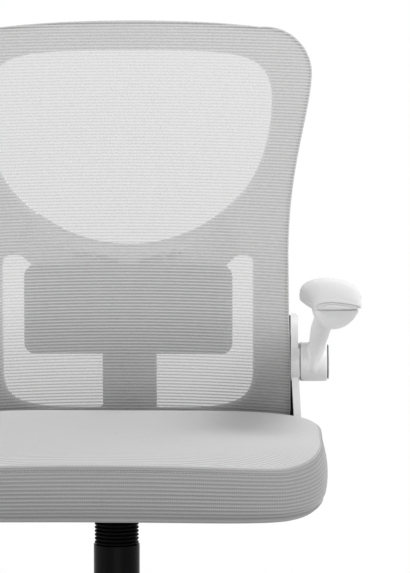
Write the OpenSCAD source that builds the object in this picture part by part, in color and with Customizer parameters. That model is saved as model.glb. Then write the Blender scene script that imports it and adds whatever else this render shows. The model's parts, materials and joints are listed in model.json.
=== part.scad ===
// Office chair with a ribbed mesh back, an upholstered seat, flip-up arms, a gas lift and a five-star base.
// Millimetres. The origin is on the floor below the column, +Z is up and the sitter faces -Y.

/* [Seat] */
// Width of the cushion at its widest
seat_w = 496; // [440:1:540]
// Depth of the cushion
seat_d = 474; // [430:1:500]
// Distance from the column to the front edge
seat_front = 245; // [225:1:265]
// Height of the cushion's lower edge
seat_z = 430; // [422:1:460]
// Height of the ribbed side band, up to the seam
band_h = 64; // [50:1:80]
// Rise of the top panel above the seam
crown_h = 13; // [6:1:22]
// Rise of the seat from the middle to the rear edge
seat_rise = 7; // [0:1:12]
// Width of the cushion's rim below, outside the pan
rim_w = 25; // [18:1:32]
// Depth of the hollow that the pan lies in
pan_recess = 26; // [24:1:32]
// Thickness of the pan's floor
pan_t = 8; // [5:1:10]

/* [Back] */
// Height of the top edge of the back
back_top_z = 995; // [940:1:1050]
// Height of the lower edge of the back
back_bottom_z = 460; // [450:1:480]
// Half width of the back at its shoulders, as a share of the seat's width
shoulder_share = 0.466; // [0.45:0.002:0.48]
// Half width of the back at its waist, as a share of the seat's width
waist_share = 0.407; // [0.395:0.001:0.41]
// Depth by which the shoulders come forward of the back's middle
wrap_in = 36; // [24:1:42]
// Thickness of the stretched mesh
mesh_t = 1.2; // [0.8:0.1:1.6]
// Depth of the outer rim, front to rear
rim_depth = 18; // [12:1:22]
// Width of the spine
spine_w = 70; // [56:1:84]
// Depth of the spine and yoke
spine_depth = 17; // [14:1:20]

/* [Lumbar pad] */
// Width of the lumbar pad
lumbar_w = 264; // [220:2:280]
// Height of the lumbar pad
lumbar_h = 114; // [104:2:120]
// Thickness of the lumbar pad
lumbar_t = 4; // [3:0.5:5]
// Width of the slots in the lumbar pad
slot_w = 4.5; // [3:0.5:6]
// Number of slot loops
slot_loops = 3; // [1:1:3]

/* [Arms] */
// Width of an arm pad
pad_w = 73; // [66:1:84]
// Length of an arm pad
pad_len = 262; // [230:1:270]
// Height of the arm pad's top
pad_top_z = 679; // [660:1:700]
// Thickness of the arm pad
pad_t = 27; // [20:1:32]
// Height of the arm's pivot
hub_z = 564; // [555:1:575]
// Diameter of the arm's barrel
hub_d = 49; // [42:1:52]
// Diameter of the arm's pivot pin
hub_pin_d = 14; // [10:1:18]
// Thickness of the arm bracket
bracket_t = 9; // [7:1:10]

/* [Tilt mechanism] */
// Width of the mechanism housing
housing_w = 96; // [88:1:110]
// Wall of the housing
housing_wall = 4; // [3:0.5:5]
// Thickness of the seat plate
plate_t = 4; // [3:0.5:5]
// Diameter of the tilt pin
tilt_pin_d = 12; // [10:1:13]
// Distance of the tilt pin ahead of the column
tilt_pin_y = 50; // [46:1:54]
// Diameter of the tension knob
knob_d = 40; // [32:1:42]
// Diameter of the lever's rod
rod_d = 7; // [6:0.5:8]
// Reach of the lever from the column
lever_reach = 200; // [180:1:204]

/* [Gas lift] */
// Diameter of the outer tube
gas_tube_d = 50; // [46:1:50]
// Diameter of the pressure tube
gas_inner_d = 28; // [24:1:30]
// Height of the outer tube's top
gas_tube_top_z = 290; // [270:1:295]
// Outer diameter of the top cover
cover_d = 54.5; // [54.5:0.1:55.5]
// Wall of the covers
cover_wall = 1.4; // [1:0.1:1.5]
// Length of each cover
cover_len = 132; // [125:1:134]
// Number of folds in the boot under the seat
boot_folds = 8; // [5:1:10]

/* [Base] */
// Radius of the circle of caster stems
base_r = 276; // [260:1:300]
// Width of a leg at the hub
leg_w = 48; // [42:1:50]
// Height of a leg at the hub
leg_h = 42; // [36:1:50]
// Width of a leg at its tip
leg_tip_w = 34; // [30:1:40]
// Height of a leg at its tip
leg_tip_h = 21; // [18:1:26]
// Wall of a leg
leg_wall = 3.5; // [3:0.5:5]
// Height of the hub's top
hub_top_z = 112; // [108:1:118]

/* [Casters] */
// Diameter of a wheel
wheel_d = 50; // [44:1:52]
// Width of a wheel
wheel_w = 15; // [12:0.5:16]
// Distance from the stem to the axle
trail = 22; // [20:1:24]
// Diameter of the stem
stem_d = 11; // [10:1:12]
// Diameter of the axle
axle_d = 8; // [6:1:8]

/* [Hidden] */
$fn = 64;
// Overrun of every cut past the face it opens
over = 1;
// Gap between pieces that lie close but don't move on each other
gap = 0.3;
// Radial clearance of a turning or sliding fit
fit = 0.05;
// Thickness that named widths and thin ribs share
rib_t = 3;

// Casters
legs = 5;
leg_turn = 360 / legs;
front_leg = -90;
headings = [0, 35, -50, 50, -35];
wheel_r = wheel_d / 2;
web_half = 6.5;
wheel_in = web_half + 2 * gap;
hood_half = wheel_in + wheel_w + gap;
well_gap = 1.5;
hood_t = 2.5;
well_r = wheel_r + well_gap;
hood_r = well_r + hood_t;
rim_step = 5;
web_r = wheel_r - rim_step;
stem_boss_d = 18;
leg_clear = 5;
leg_z = wheel_r + hood_r + leg_clear;
stem_gap = 1;
stem_reach = 15;
stem_low_z = leg_z - stem_reach;

// Base
hub_low_d = 96;
hub_high_d = 84;
hub_drop = 2;
hub_low_z = leg_z - hub_drop;
leg_start = 30;
leg_round = 14;
leg_roof = 9;
socket_d = 30;
socket_cap = 3;
socket_lip = 1;

// Gas lift
taper_fall = 3;
gas_low_z = 52;
gas_wall = 2;
gas_floor = 6;
bush_len = 78;
rod_dia = 10;
piston_d = gas_inner_d - 2 * gas_wall - 4 * fit;
piston_z = 232;
piston_h = 18;
bearing_d = 26;
bearing_h = 8;
clip_d = 18;
clip_h = 3;
gland_h = 12;
inner_low_z = 118;
taper_narrow = 1.4;
taper_d_top = gas_inner_d - taper_narrow;

// Tilt mechanism, built down from the pan's underside
pan_z = seat_z + pan_recess - pan_t;
plate_z = pan_z - plate_t;
pivot_drop = 20;
pivot_z = plate_z - pivot_drop;
pivot_y = -tilt_pin_y;
housing_drop = 23;
housing_z = pivot_z - housing_drop;
housing_floor = 2.5;
housing_rear = 62;
housing_step = 6;
housing_clear = 1;
tilt_angle = 12;
nose_front = 108;
nose_back = 68;
nose_drop = 2.5;
nose_z = pivot_z - nose_drop;
taper_drop = 3;
taper_top_z = pivot_z - taper_drop;
taper_len = 49;
boss_d = 40;
button_d = 8;
button_len = 27;
button_stand = 5;
button_z = taper_top_z + button_stand;
boot_h = 35;
boot_z = housing_z - boot_h;
boot_d = 52;
boot_valley_d = 45;
rod_drop = 14;
rod_z = pivot_z - rod_drop;
rod_sunk = 10;
rod_lap = 2;
rocker_x = 36;
rocker_drop = 5;
rocker_z = pivot_z - rocker_drop;
rocker_pin_d = 5;
rocker_half = 7.5;
rocker_in = 29;
rocker_out = 41.5;
arm_t = 5;
lug_t = 6;
lever_w = 26;
lever_t = 8;
lever_len = 56;
spring_wire = 5;
spring_r = tilt_pin_d / 2 + spring_wire / 2 + 2 * gap;
spring_side = 5;
spring_pitch = 5.6;
spring_run = housing_w - 2 * (housing_wall + spring_side) - spring_wire;
spring_turns = floor(spring_run / spring_pitch);
spring_lift = 30;
nut_w = 48;
nut_h = 6;
knob_y = -90;
knob_h = 9.5;
knob_lead = 4;
bolt_d = 10;
plate_half = 95;
plate_front = 104;
plate_rear = 135;
flange_gap = 2.5;
flange_r = 13;
seat_bolt_x = 75;
seat_bolt_front = 80;
seat_bolt_rear = 112;
bolt_m = 8;
bolt_head_d = 13;
bolt_head_h = 5.3;
bolt_short = 2;
hole_roof = 1;
pan_gap = 2;
pin_end = 3;
pin_head = 2;
seat_rear = seat_d - seat_front;

// Back upright
bar_w = 44;
bar_t = 14;
bar_start = 72;
bar_drop = 12;
bar_rows = 5;
bar_low_z = seat_z - bar_drop;

// Back, as wide as the seat asks for
shoulder_x = shoulder_share * seat_w;
waist_x = waist_share * seat_w;
wrap_r = (shoulder_x * shoulder_x + wrap_in * wrap_in) / (2 * wrap_in);
// Depth of the mesh's front face behind the seat's rear edge, at four heights from low to high
back_h = back_top_z - back_bottom_z;
back_sweep = [12, -23, -8, 69];
back_depths = [for (s = back_sweep) seat_rear + s];
rim_off = mesh_t + gap;
spine_off = 15;
spine_rear_off = spine_off + spine_depth;
cell_x = 12;
cell_z = 14;
corner_r = 60;
foot_r = 45;
window_round = 6;
window_foot_r = 32;
spine_foot_r = 14;
top_fall = 9;
corner_angle = 97;
waist_flare = 3;
window_rim = 50;
window_head = 38;
window_top_z = back_top_z - window_head;
window_x = shoulder_x - window_rim;
window_low_z = back_bottom_z + 0.469 * back_h;
window_h = window_top_z - window_low_z;
low_win_rim = 44;
low_win_x = waist_x - low_win_rim;
low_win_top_z = back_bottom_z + 0.443 * back_h;
low_win_sill = 38;
low_win_low_z = back_bottom_z + low_win_sill;
low_win_h = low_win_top_z - low_win_low_z;
back_bolt_zs = [for (share = [0.1, 0.2]) back_bottom_z + share * back_h];
back_bolt_m = 6;
back_bolt_sunk = 11;
spine_half = spine_w / 2;
arc_slot_r = 308;
arc_slot_drop = 16;
arc_slot_z = window_low_z - arc_slot_drop;
arc_slot_w = 3.5;
arc_slot_angle = 12.7;

// Lumbar pad
lumbar_z = back_bottom_z + 0.314 * back_h;
lumbar_back = 10.5;
lumbar_y = back_y(lumbar_z) + lumbar_back;
lumbar_corner = 15;
lumbar_flat = 11;
lumbar_r = wrap_r + lumbar_flat;
slot_margin = 12;
slot_edge = 13;
slot_out = lumbar_w / 2 - slot_margin;
slot_tall = lumbar_h / 2 - slot_edge;
slot_step = 14.5;
slot_core = 45;
guide_neck = 6;
guide_head = 10;
guide_len = 36;
guide_stem = 5;
guide_y = lumbar_y + lumbar_t + guide_stem;
guide_depth = 6;
guide_down = 42;
guide_up = 62;
guide_low_z = lumbar_z - guide_down;
guide_high_z = lumbar_z + guide_up;

// Arms
hub_ahead = 17;
hub_y = seat_rear - hub_ahead;
hub_r = hub_d / 2;
bracket_side = 4;
bracket_x = waist_x + bracket_side;
bracket_lean = 4;
bracket_w = 32;
bracket_rise = 62;
bracket_top_z = hub_z + bracket_rise;
bracket_round = 3;
// Flange of the bracket behind the back's foot
flange_clear = 1.5;
flange_t = 5;
flange_in = 42;
flange_y = back_depths[0] - wrap(low_win_x) + rim_off + rim_depth + flange_clear;
flange_low_z = back_bottom_z + flange_clear;
flange_high_z = bracket_top_z - bracket_w;
bracket_foot_t = 10;
foot_drop = 2;
bracket_foot_z = seat_z - foot_drop - bracket_foot_t;
foot_round = 14;
flange_out = 2;
hub_x = bracket_x + bracket_t + flange_out + gap;
hub_len = 34.5;
pad_x = hub_x + hub_len + gap;
cap_d = 44;
cap_t = 2;
arm_bolt_x = 151;
arm_bolt_ys = [130, 170];
arm_boss_d = 22;
pad_reach = 332;
pad_front = hub_y - pad_reach;
pad_seat_z = pad_top_z - pad_t;
scoop_z = pad_seat_z - gap;
arm_rise = scoop_z - hub_z;
beam_h = 23;
beam_nose_in = 8;
beam_tail_in = 2;
pad_roll_share = 0.05;

white = "#eef0f2";
light_grey = "#c9ccce";
mesh_grey = "#d4d7d9";
black = "#1c1d1f";
dark = "#2b2d30";
steel = "#8d9196";

hood_names = [for (k = [1:legs]) str("caster_hood_", k)];
axle_names = [for (k = [1:legs]) str("caster_axle_", k)];
left_names = [for (k = [1:legs]) str("caster_wheel_left_", k)];
right_names = [for (k = [1:legs]) str("caster_wheel_right_", k)];

// Curves
function bezier(p, t) = pow(1 - t, 3) * p[0] + 3 * t * pow(1 - t, 2) * p[1]
    + 3 * t * t * (1 - t) * p[2] + pow(t, 3) * p[3];
function curve(p, n) = [for (i = [0:n]) bezier(p, i / n)];
function arc(c, r, from, to, n) = [for (i = [0:n])
    let (a = from + (to - from) * i / n) c + r * [cos(a), sin(a)]];
function mirrored(half) = concat(half, [for (i = [len(half) - 1:-1:0]) [-half[i][0], half[i][1]]]);
function signed_pow(v, e) = sign(v) * pow(abs(v), e);
// Heights at which the back's curve is drawn, from row 0 to row cell_z
function back_row_z(i) = back_bottom_z - over + (back_h + 2 * over) * i / cell_z;
// Depth of the back's front face on the centre plane
function back_y(z) = bezier(back_depths, (z - back_bottom_z) / back_h);
function wrap(x) = wrap_r - sqrt(wrap_r * wrap_r - x * x);

module side_profile(points, x0, x1) {
    translate([x0, 0, 0]) rotate([90, 0, 90]) linear_extrude(x1 - x0) polygon(points);
}

module front_profile(points, y0, y1) {
    translate([0, y1, 0]) rotate([90, 0, 0]) linear_extrude(y1 - y0) polygon(points);
}

module across(x0, x1, d, y, z) {
    translate([x0, y, z]) rotate([0, 90, 0]) cylinder(d = d, h = x1 - x0);
}

module both_sides() {
    children();
    mirror([1, 0, 0]) children();
}

// Closed skin over rows of points, from a first row to a last row, all wound alike
module loft(rows) {
    n = len(rows[0]);
    m = len(rows);
    points = [for (r = rows) each r];
    sides = [for (i = [0:m - 2], j = [0:n - 1])
        each [[i * n + j, (i + 1) * n + j, i * n + (j + 1) % n],
              [i * n + (j + 1) % n, (i + 1) * n + j, (i + 1) * n + (j + 1) % n]]];
    low = [for (j = [0:n - 1]) j];
    high = [for (j = [n - 1:-1:0]) (m - 1) * n + j];
    polyhedron(points, concat(sides, [low, high]), convexity = 6);
}

// Base

module leg_section(share) {
    half = leg_w / 2 + (leg_tip_w - leg_w) / 2 * share;
    top = leg_h + (leg_tip_h - leg_h) * share;
    round_r = leg_round * top / leg_h;
    polygon(concat([[-half, 0], [half, 0]], arc([half - round_r, top - round_r], round_r, 0, 90, 5),
        arc([round_r - half, top - round_r], round_r, 90, 180, 5)));
}

module leg_bar() {
    hull() for (share = [0, 1])
        translate([leg_start + (base_r - over - leg_start) * share, 0, 0]) rotate([90, 0, 90])
            linear_extrude(over) leg_section(share);
}

function leg_share(r) = (r - leg_start) / (base_r - leg_start);
function leg_top(r) = leg_h + (leg_tip_h - leg_h) * leg_share(r);
function leg_half(r) = (leg_w + (leg_tip_w - leg_w) * leg_share(r)) / 2;

// Hollow under a leg, from the hub's skirt to the caster socket
module leg_hollow() {
    r0 = hub_low_d / 2 + leg_wall;
    r1 = base_r - socket_d / 2 - leg_wall;
    intersection() {
        rotate([90, 0, 0]) linear_extrude(leg_w, center = true)
            polygon([[r0, -over], [r1, -over], [r1, leg_top(r1) - leg_roof], [r0, leg_top(r0) - leg_roof]]);
        linear_extrude(2 * leg_h, center = true)
            polygon([[r0, leg_wall - leg_half(r0)], [r1, leg_wall - leg_half(r1)],
                [r1, leg_half(r1) - leg_wall], [r0, leg_half(r0) - leg_wall]]);
    }
}

module leg_ribs() {
    r0 = hub_low_d / 2;
    r1 = base_r - socket_d / 2;
    cells = 5;
    rotate([90, 0, 0]) linear_extrude(rib_t, center = true)
        polygon([[r0, 0], [r1, 0], [r1, leg_top(r1) - leg_roof + over], [r0, leg_top(r0) - leg_roof + over]]);
    for (i = [1:cells - 1]) {
        r = r0 + (r1 - r0) * i / cells;
        half = leg_half(r + rib_t) - leg_wall + over;
        translate([r, -half, 0]) cube([rib_t, 2 * half, leg_top(r + rib_t) - leg_roof + over]);
    }
}

module base_star() {
    color(white) difference() {
        union() {
            translate([0, 0, hub_low_z]) cylinder(d1 = hub_low_d, d2 = hub_high_d, h = hub_top_z - hub_low_z);
            for (k = [0:legs - 1]) rotate([0, 0, front_leg + leg_turn * k]) {
                translate([0, 0, leg_z]) {
                    difference() {
                        leg_bar();
                        leg_hollow();
                    }
                    leg_ribs();
                }
                translate([base_r, 0, leg_z - socket_lip])
                    cylinder(d = leg_tip_w + 2 * socket_lip, h = leg_tip_h + 2 * socket_lip);
            }
        }
        translate([0, 0, hub_low_z - over])
            cylinder(d1 = gas_tube_d - taper_fall, d2 = gas_tube_d, h = hub_top_z - hub_low_z + 2 * over);
        for (k = [0:legs - 1]) rotate([0, 0, front_leg + leg_turn * k])
            translate([base_r, 0, leg_z - socket_lip - over])
                cylinder(d = stem_d + 2 * fit, h = leg_tip_h - socket_cap + socket_lip + over);
    }
}

module caster_stems() {
    low = stem_low_z + stem_gap;
    color(steel) for (k = [0:legs - 1]) rotate([0, 0, front_leg + leg_turn * k])
        translate([base_r, 0, low]) cylinder(d = stem_d, h = leg_z + leg_tip_h - socket_cap - gap - low);
}

// Casters

module at_caster(k) {
    rotate([0, 0, front_leg + leg_turn * (k - 1)]) translate([base_r, 0, 0])
        rotate([0, 0, headings[k - 1]]) children();
}

module along_axle(y0, y1, d) {
    translate([trail, y1, wheel_r]) rotate([90, 0, 0]) cylinder(d = d, h = y1 - y0);
}

module caster_hood(k) {
    skirt_z = wheel_r - hood_t;
    color(dark) at_caster(k) difference() {
        union() {
            intersection() {
                along_axle(-hood_half, hood_half, 2 * hood_r);
                translate([trail - hood_r, -hood_half, skirt_z])
                    cube([2 * hood_r, 2 * hood_half, hood_r + hood_t]);
            }
            along_axle(-web_half, web_half, 2 * web_r);
            translate([0, 0, wheel_r]) cylinder(d = stem_boss_d, h = leg_z - socket_lip - gap - wheel_r);
        }
        for (s = [-1, 1]) {
            low = s > 0 ? web_half : -hood_half - over;
            along_axle(low, low + hood_half - web_half + over, 2 * well_r);
        }
        along_axle(-web_half - over, web_half + over, axle_d + 2 * fit);
        translate([0, 0, stem_low_z]) cylinder(d = stem_d + 2 * fit, h = leg_z - stem_low_z + over);
    }
}

module caster_axle(k) {
    color(steel) at_caster(k) along_axle(gap - hood_half, hood_half - gap, axle_d);
}

module caster_wheel(k, s) {
    tread_round = 2.5;
    rim_in = wheel_r - rim_step;
    dish = 2.5;
    hub_r = 9;
    bore_r = axle_d / 2 + fit;
    color(light_grey) at_caster(k) translate([trail, s * wheel_in, wheel_r]) rotate([-90 * s, 0, 0])
        rotate_extrude() polygon(concat(
            [[bore_r, 0], [wheel_r - tread_round, 0]],
            arc([wheel_r - tread_round, tread_round], tread_round, -90, 0, 4),
            arc([wheel_r - tread_round, wheel_w - tread_round], tread_round, 0, 90, 4),
            [[rim_in, wheel_w], [rim_in - dish, wheel_w - dish], [hub_r + dish, wheel_w - dish],
             [hub_r, wheel_w], [bore_r, wheel_w]]));
}

// Gas lift

module tube(z0, z1, od, id) {
    translate([0, 0, z0]) difference() {
        cylinder(d = od, h = z1 - z0);
        translate([0, 0, -over]) cylinder(d = id, h = z1 - z0 + 2 * over);
    }
}

module gas_outer_tube() {
    run = hub_top_z - hub_low_z;
    low_d = gas_tube_d - taper_fall * (hub_top_z + over - gas_low_z) / (run + 2 * over);
    inner_r = gas_tube_d / 2 - taper_fall / 2 - gas_wall;
    color(black) difference() {
        union() {
            translate([0, 0, gas_low_z])
                cylinder(d1 = low_d - 2 * fit, d2 = gas_tube_d - 2 * fit, h = hub_top_z + over - gas_low_z);
            translate([0, 0, hub_top_z]) cylinder(d = gas_tube_d - 2 * fit, h = gas_tube_top_z - hub_top_z);
        }
        translate([0, 0, gas_low_z + gas_floor]) cylinder(r = inner_r, h = gas_tube_top_z);
        translate([0, 0, gas_low_z - over]) cylinder(d = rod_dia + 2 * fit, h = gas_floor + 2 * over);
    }
}

module guide_bush() {
    inner_r = gas_tube_d / 2 - taper_fall / 2 - gas_wall;
    color(dark) tube(gas_tube_top_z - bush_len, gas_tube_top_z, 2 * inner_r, gas_inner_d + 2 * fit);
}

module piston_rod() {
    color(steel) {
        translate([0, 0, gas_low_z - clip_h]) cylinder(d = rod_dia, h = piston_z + over - gas_low_z + clip_h);
        translate([0, 0, piston_z]) cylinder(d = piston_d, h = piston_h);
    }
}

module rod_bearing() {
    color(steel) {
        tube(gas_low_z + gas_floor + 4 * fit, gas_low_z + gas_floor + bearing_h, bearing_d, rod_dia + 2 * fit);
        tube(gas_low_z - clip_h, gas_low_z - 4 * fit, clip_d, rod_dia + 2 * fit);
    }
}

module pressure_tube() {
    taper_z = taper_top_z - taper_len;
    bore_z = button_z - button_len - bolt_m;
    color(steel) difference() {
        union() {
            translate([0, 0, inner_low_z]) cylinder(d = gas_inner_d, h = taper_z - inner_low_z);
            translate([0, 0, taper_z]) cylinder(d1 = gas_inner_d, d2 = taper_d_top, h = taper_len);
        }
        translate([0, 0, inner_low_z - over]) cylinder(d = rod_dia + 2 * fit, h = gland_h + 2 * over);
        translate([0, 0, inner_low_z + gland_h])
            cylinder(d = gas_inner_d - 2 * gas_wall, h = taper_z - inner_low_z - 2 * gland_h);
        translate([0, 0, bore_z]) cylinder(d = button_d + 2 * fit, h = taper_top_z - bore_z + over);
    }
}

module gas_button() {
    color(steel) translate([0, 0, button_z - button_len]) cylinder(d = button_d, h = button_len);
}

function cover_od(i) = cover_d + 2 * i * (cover_wall + gap + 2 * fit);

module cover_lower() {
    color(black) tube(hub_top_z, hub_top_z + cover_len, cover_od(2), cover_od(2) - 2 * cover_wall);
}

module cover_middle() {
    mid_z = (hub_top_z + boot_z - cover_len) / 2;
    color(black) tube(mid_z, mid_z + cover_len, cover_od(1), cover_od(1) - 2 * cover_wall);
}

module cover_upper() {
    color(black) {
        tube(boot_z - cover_len, boot_z, cover_d, cover_d - 2 * cover_wall);
        tube(boot_z - 2 * cover_wall, boot_z, cover_d - cover_wall, boss_d + 2 * gap);
    }
}

module column_boot() {
    fold = (housing_z - boot_z) / boot_folds;
    edge = [for (i = [0:boot_folds - 1]) each [
        [boot_valley_d / 2, boot_z + i * fold],
        [boot_d / 2, boot_z + (i + 0.35) * fold],
        [boot_d / 2, boot_z + (i + 0.65) * fold]]];
    color(dark) rotate_extrude() polygon(concat(
        [[boss_d / 2 + gap, boot_z]], edge,
        [[boot_valley_d / 2, housing_z], [boss_d / 2 + gap, housing_z]]));
}

// Tilt mechanism

function housing_outline(inset) = [
    [housing_rear - inset, housing_z + inset],
    [housing_rear - inset, housing_top(housing_rear) + over * sign(inset)],
    [pivot_y, housing_top(pivot_y) + over * sign(inset)],
    [inset - nose_front, housing_top(pivot_y) + over * sign(inset)],
    [inset - nose_front, nose_z + inset],
    [inset - nose_back, nose_z + inset],
    [inset - nose_back + housing_step, housing_z + housing_step + inset],
    [-boss_d / 2 - housing_step, housing_z + inset]];
// The housing's top falls to the rear, so that the seat plate can tilt over it
function housing_top(y) = plate_z - housing_clear - (y - pivot_y) * tan(tilt_angle);

module rod_slot() {
    low = rod_z - rod_d / 2 - 2 * gap;
    translate([-housing_w / 2 - over, -rod_d / 2 - 2 * gap, low])
        cube([housing_wall + 2 * over, rod_d + 4 * gap, rod_d + 8 * gap]);
}

module mechanism_housing() {
    half = housing_w / 2;
    color(dark) difference() {
        union() {
            difference() {
                side_profile(housing_outline(0), -half, half);
                side_profile(housing_outline(housing_floor), housing_wall - half, half - housing_wall);
            }
            translate([0, 0, taper_top_z - taper_len]) cylinder(d = boss_d, h = taper_len - gap);
            for (y = [rocker_half + gap, -rocker_half - gap - lug_t])
                translate([-rocker_x - lug_t, y, housing_z]) cube([2 * lug_t, lug_t, rocker_z + lug_t - housing_z]);
        }
        translate([0, 0, taper_top_z - taper_len - over])
            cylinder(d = gas_inner_d + 2 * gap, h = over);
        translate([0, 0, taper_top_z - taper_len])
            cylinder(d1 = gas_inner_d, d2 = taper_d_top, h = taper_len);
        across(-half - over, half + over, tilt_pin_d + 2 * fit, pivot_y, pivot_z);
        translate([0, knob_y, nose_z - over]) cylinder(d = bolt_d + 2 * fit, h = housing_floor + 2 * over);
        translate([-rocker_x, rocker_half + lug_t + over, rocker_z]) rotate([90, 0, 0])
            cylinder(d = rocker_pin_d, h = 2 * (rocker_half + lug_t + over));
        rod_slot();
    }
}

module rocker_pin() {
    run = 2 * (rocker_half + lug_t);
    color(steel) translate([-rocker_x, run / 2, rocker_z]) rotate([90, 0, 0])
        cylinder(d = rocker_pin_d, h = run);
}

module lever_rocker() {
    tip = 8;
    ear = 2;
    rocker_wall = 1.6;
    low = rod_z - rod_d / 2 - rocker_wall;
    under = button_z + gap;
    shape = [[-rocker_out, low], [-rocker_in, low], [-rocker_in, under], [tip, under],
        [tip, under + arm_t], [-rocker_in - tip, under + arm_t], [-rocker_out, rocker_z + ear]];
    color(steel) difference() {
        front_profile(shape, -rocker_half, rocker_half);
        across(-rocker_out - over, -rocker_in + over, rod_d + 2 * fit, 0, rod_z);
        translate([-rocker_x, rocker_half + over, rocker_z]) rotate([90, 0, 0])
            cylinder(d = rocker_pin_d + 2 * fit, h = 2 * (rocker_half + over));
    }
}

module lever_rod() {
    color(steel) across(rod_sunk - lever_reach, rod_lap - rocker_in, rod_d, 0, rod_z);
}

module lever_paddle() {
    half = lever_w / 2;
    color(black) difference() {
        translate([half - lever_reach, 0, rod_z - 0.85 * lever_t]) {
            cylinder(d = lever_w, h = lever_t);
            translate([0, -half, 0]) cube([lever_len - half, lever_w, lever_t]);
            translate([0, -rod_d, 0]) cube([lever_len, 2 * rod_d, 1.5 * lever_t]);
        }
        across(rod_sunk - lever_reach, 0, rod_d + 2 * fit, 0, rod_z);
    }
}

module tension_nut() {
    color(steel) translate([0, 0, nose_z + housing_floor]) difference() {
        translate([-nut_w / 2, knob_y - bolt_d, 0]) cube([nut_w, 2 * bolt_d, nut_h]);
        translate([0, knob_y, -over]) cylinder(d = bolt_d + 2 * fit, h = nut_h + 2 * over);
    }
}

module tension_bolt() {
    low = nose_z - gap - knob_h / 2;
    color(steel) translate([0, knob_y, low]) cylinder(d = bolt_d, h = plate_z - taper_drop - low);
}

module tension_knob() {
    flutes = 8;
    flute_d = 9;
    color(black) translate([0, knob_y, nose_z - gap - knob_h]) difference() {
        union() {
            cylinder(d1 = knob_d - knob_lead, d2 = knob_d, h = knob_h / 3);
            translate([0, 0, knob_h / 3]) cylinder(d = knob_d, h = knob_h * 2 / 3);
        }
        for (i = [0:flutes - 1]) rotate([0, 0, 360 * i / flutes])
            translate([knob_d / 2 + flute_d / 4, 0, -over]) cylinder(d = flute_d, h = knob_h + 2 * over);
        translate([0, 0, knob_h / 2]) cylinder(d = bolt_d + 2 * fit, h = knob_h);
    }
}

module tilt_pin() {
    reach = housing_w / 2 + flange_gap + plate_t + pin_end;
    color(steel) {
        across(-reach, reach, tilt_pin_d, pivot_y, pivot_z);
        both_sides() across(reach - pin_head, reach, tilt_pin_d + 2 * pin_head, pivot_y, pivot_z);
    }
}

// Torsion spring round the tilt pin: one wire with a leg on the tension nut and a leg under the seat plate
function spring_row(c, a) = [for (j = [0:5])
    c + spring_wire / 2 * (cos(60 * j) * [0, cos(a), sin(a)] + sin(60 * j) * [1, 0, 0])];
function spring_at(share, a) = [(share - 0.5) * spring_turns * spring_pitch,
    pivot_y + spring_r * cos(a), pivot_z + spring_r * sin(a)];

module tilt_spring() {
    steps = 8;
    turn = 360 * spring_turns - spring_lift;
    count = spring_turns * steps;
    end = 90 + spring_lift;
    coil = [for (i = [0:count]) let (a = 90 - turn * i / count) spring_row(spring_at(i / count, a), a)];
    front_leg_row = spring_row(spring_at(0, 90) + [0, knob_y - pivot_y, 0], 90);
    rear_leg_row = spring_row(spring_at(1, end) + 2 * spring_r * [0, sin(end), -cos(end)], end);
    color(steel) loft(concat([front_leg_row], coil, [rear_leg_row]));
}

module plate_flange() {
    x0 = housing_w / 2 + flange_gap;
    translate([x0, pivot_y - flange_r, pivot_z]) cube([plate_t, 2 * flange_r, plate_z - pivot_z + over]);
    across(x0, x0 + plate_t, 2 * flange_r, pivot_y, pivot_z);
}

module at_seat_bolts() {
    for (x = [-seat_bolt_x, seat_bolt_x], y = [-seat_bolt_front, seat_bolt_rear])
        translate([x, y, 0]) children();
}

module seat_plate() {
    lip = 8;
    color(steel) difference() {
        union() {
            translate([-plate_half, -plate_front, plate_z])
                cube([2 * plate_half, plate_front + plate_rear, plate_t]);
            both_sides() {
                plate_flange();
                translate([plate_half - plate_t, -plate_front, plate_z - lip])
                    cube([plate_t, plate_front + plate_rear, lip + over]);
            }
        }
        across(-plate_half, plate_half, tilt_pin_d + 2 * fit, pivot_y, pivot_z);
        at_seat_bolts() translate([0, 0, plate_z - over])
            cylinder(d = bolt_m + 2 * fit, h = plate_t + 2 * over);
    }
}

// Seat

// Outline of the seat drawn in from its widest line by a given amount
function seat_point(a, inset) = [
    (seat_w / 2 - inset) * signed_pow(cos(a), 0.52),
    seat_rear - seat_d / 2 + (seat_d / 2 - inset) * signed_pow(sin(a), 0.5)];
function seat_slope(y) = seat_rise * (y - seat_rear + seat_d / 2) / (seat_d / 2);

module seat_pan() {
    steps = 72;
    outline = [for (i = [0:steps - 1]) seat_point(360 * i / steps, rim_w + pan_gap)];
    rib_h = 5;
    rib_in = 17;
    rib_x = plate_half + rib_in;
    color(dark) difference() {
        union() {
            translate([0, 0, pan_z]) linear_extrude(pan_t) polygon(outline);
            both_sides() {
                for (x = [rib_x, 1.6 * rib_x])
                    translate([x, -1.5 * rib_x, pan_z - rib_h]) cube([rib_t, rib_x, rib_h + over]);
                translate([bar_w, plate_rear + rib_t, pan_z - rib_h])
                    cube([rib_t, plate_rear / 3, rib_h + over]);
            }
            translate([-1.6 * rib_x, -plate_front - 2 * rib_h - rib_t, pan_z - rib_h])
                cube([3.2 * rib_x + rib_t, rib_t, rib_h + over]);
        }
        at_seat_bolts() translate([0, 0, pan_z - over])
            cylinder(d = bolt_m + 2 * fit, h = pan_t + over - hole_roof);
        both_sides() for (y = arm_bolt_ys) translate([arm_bolt_x, y, pan_z - over])
            cylinder(d = bolt_m + 2 * fit, h = pan_t + over - hole_roof);
    }
}

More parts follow.
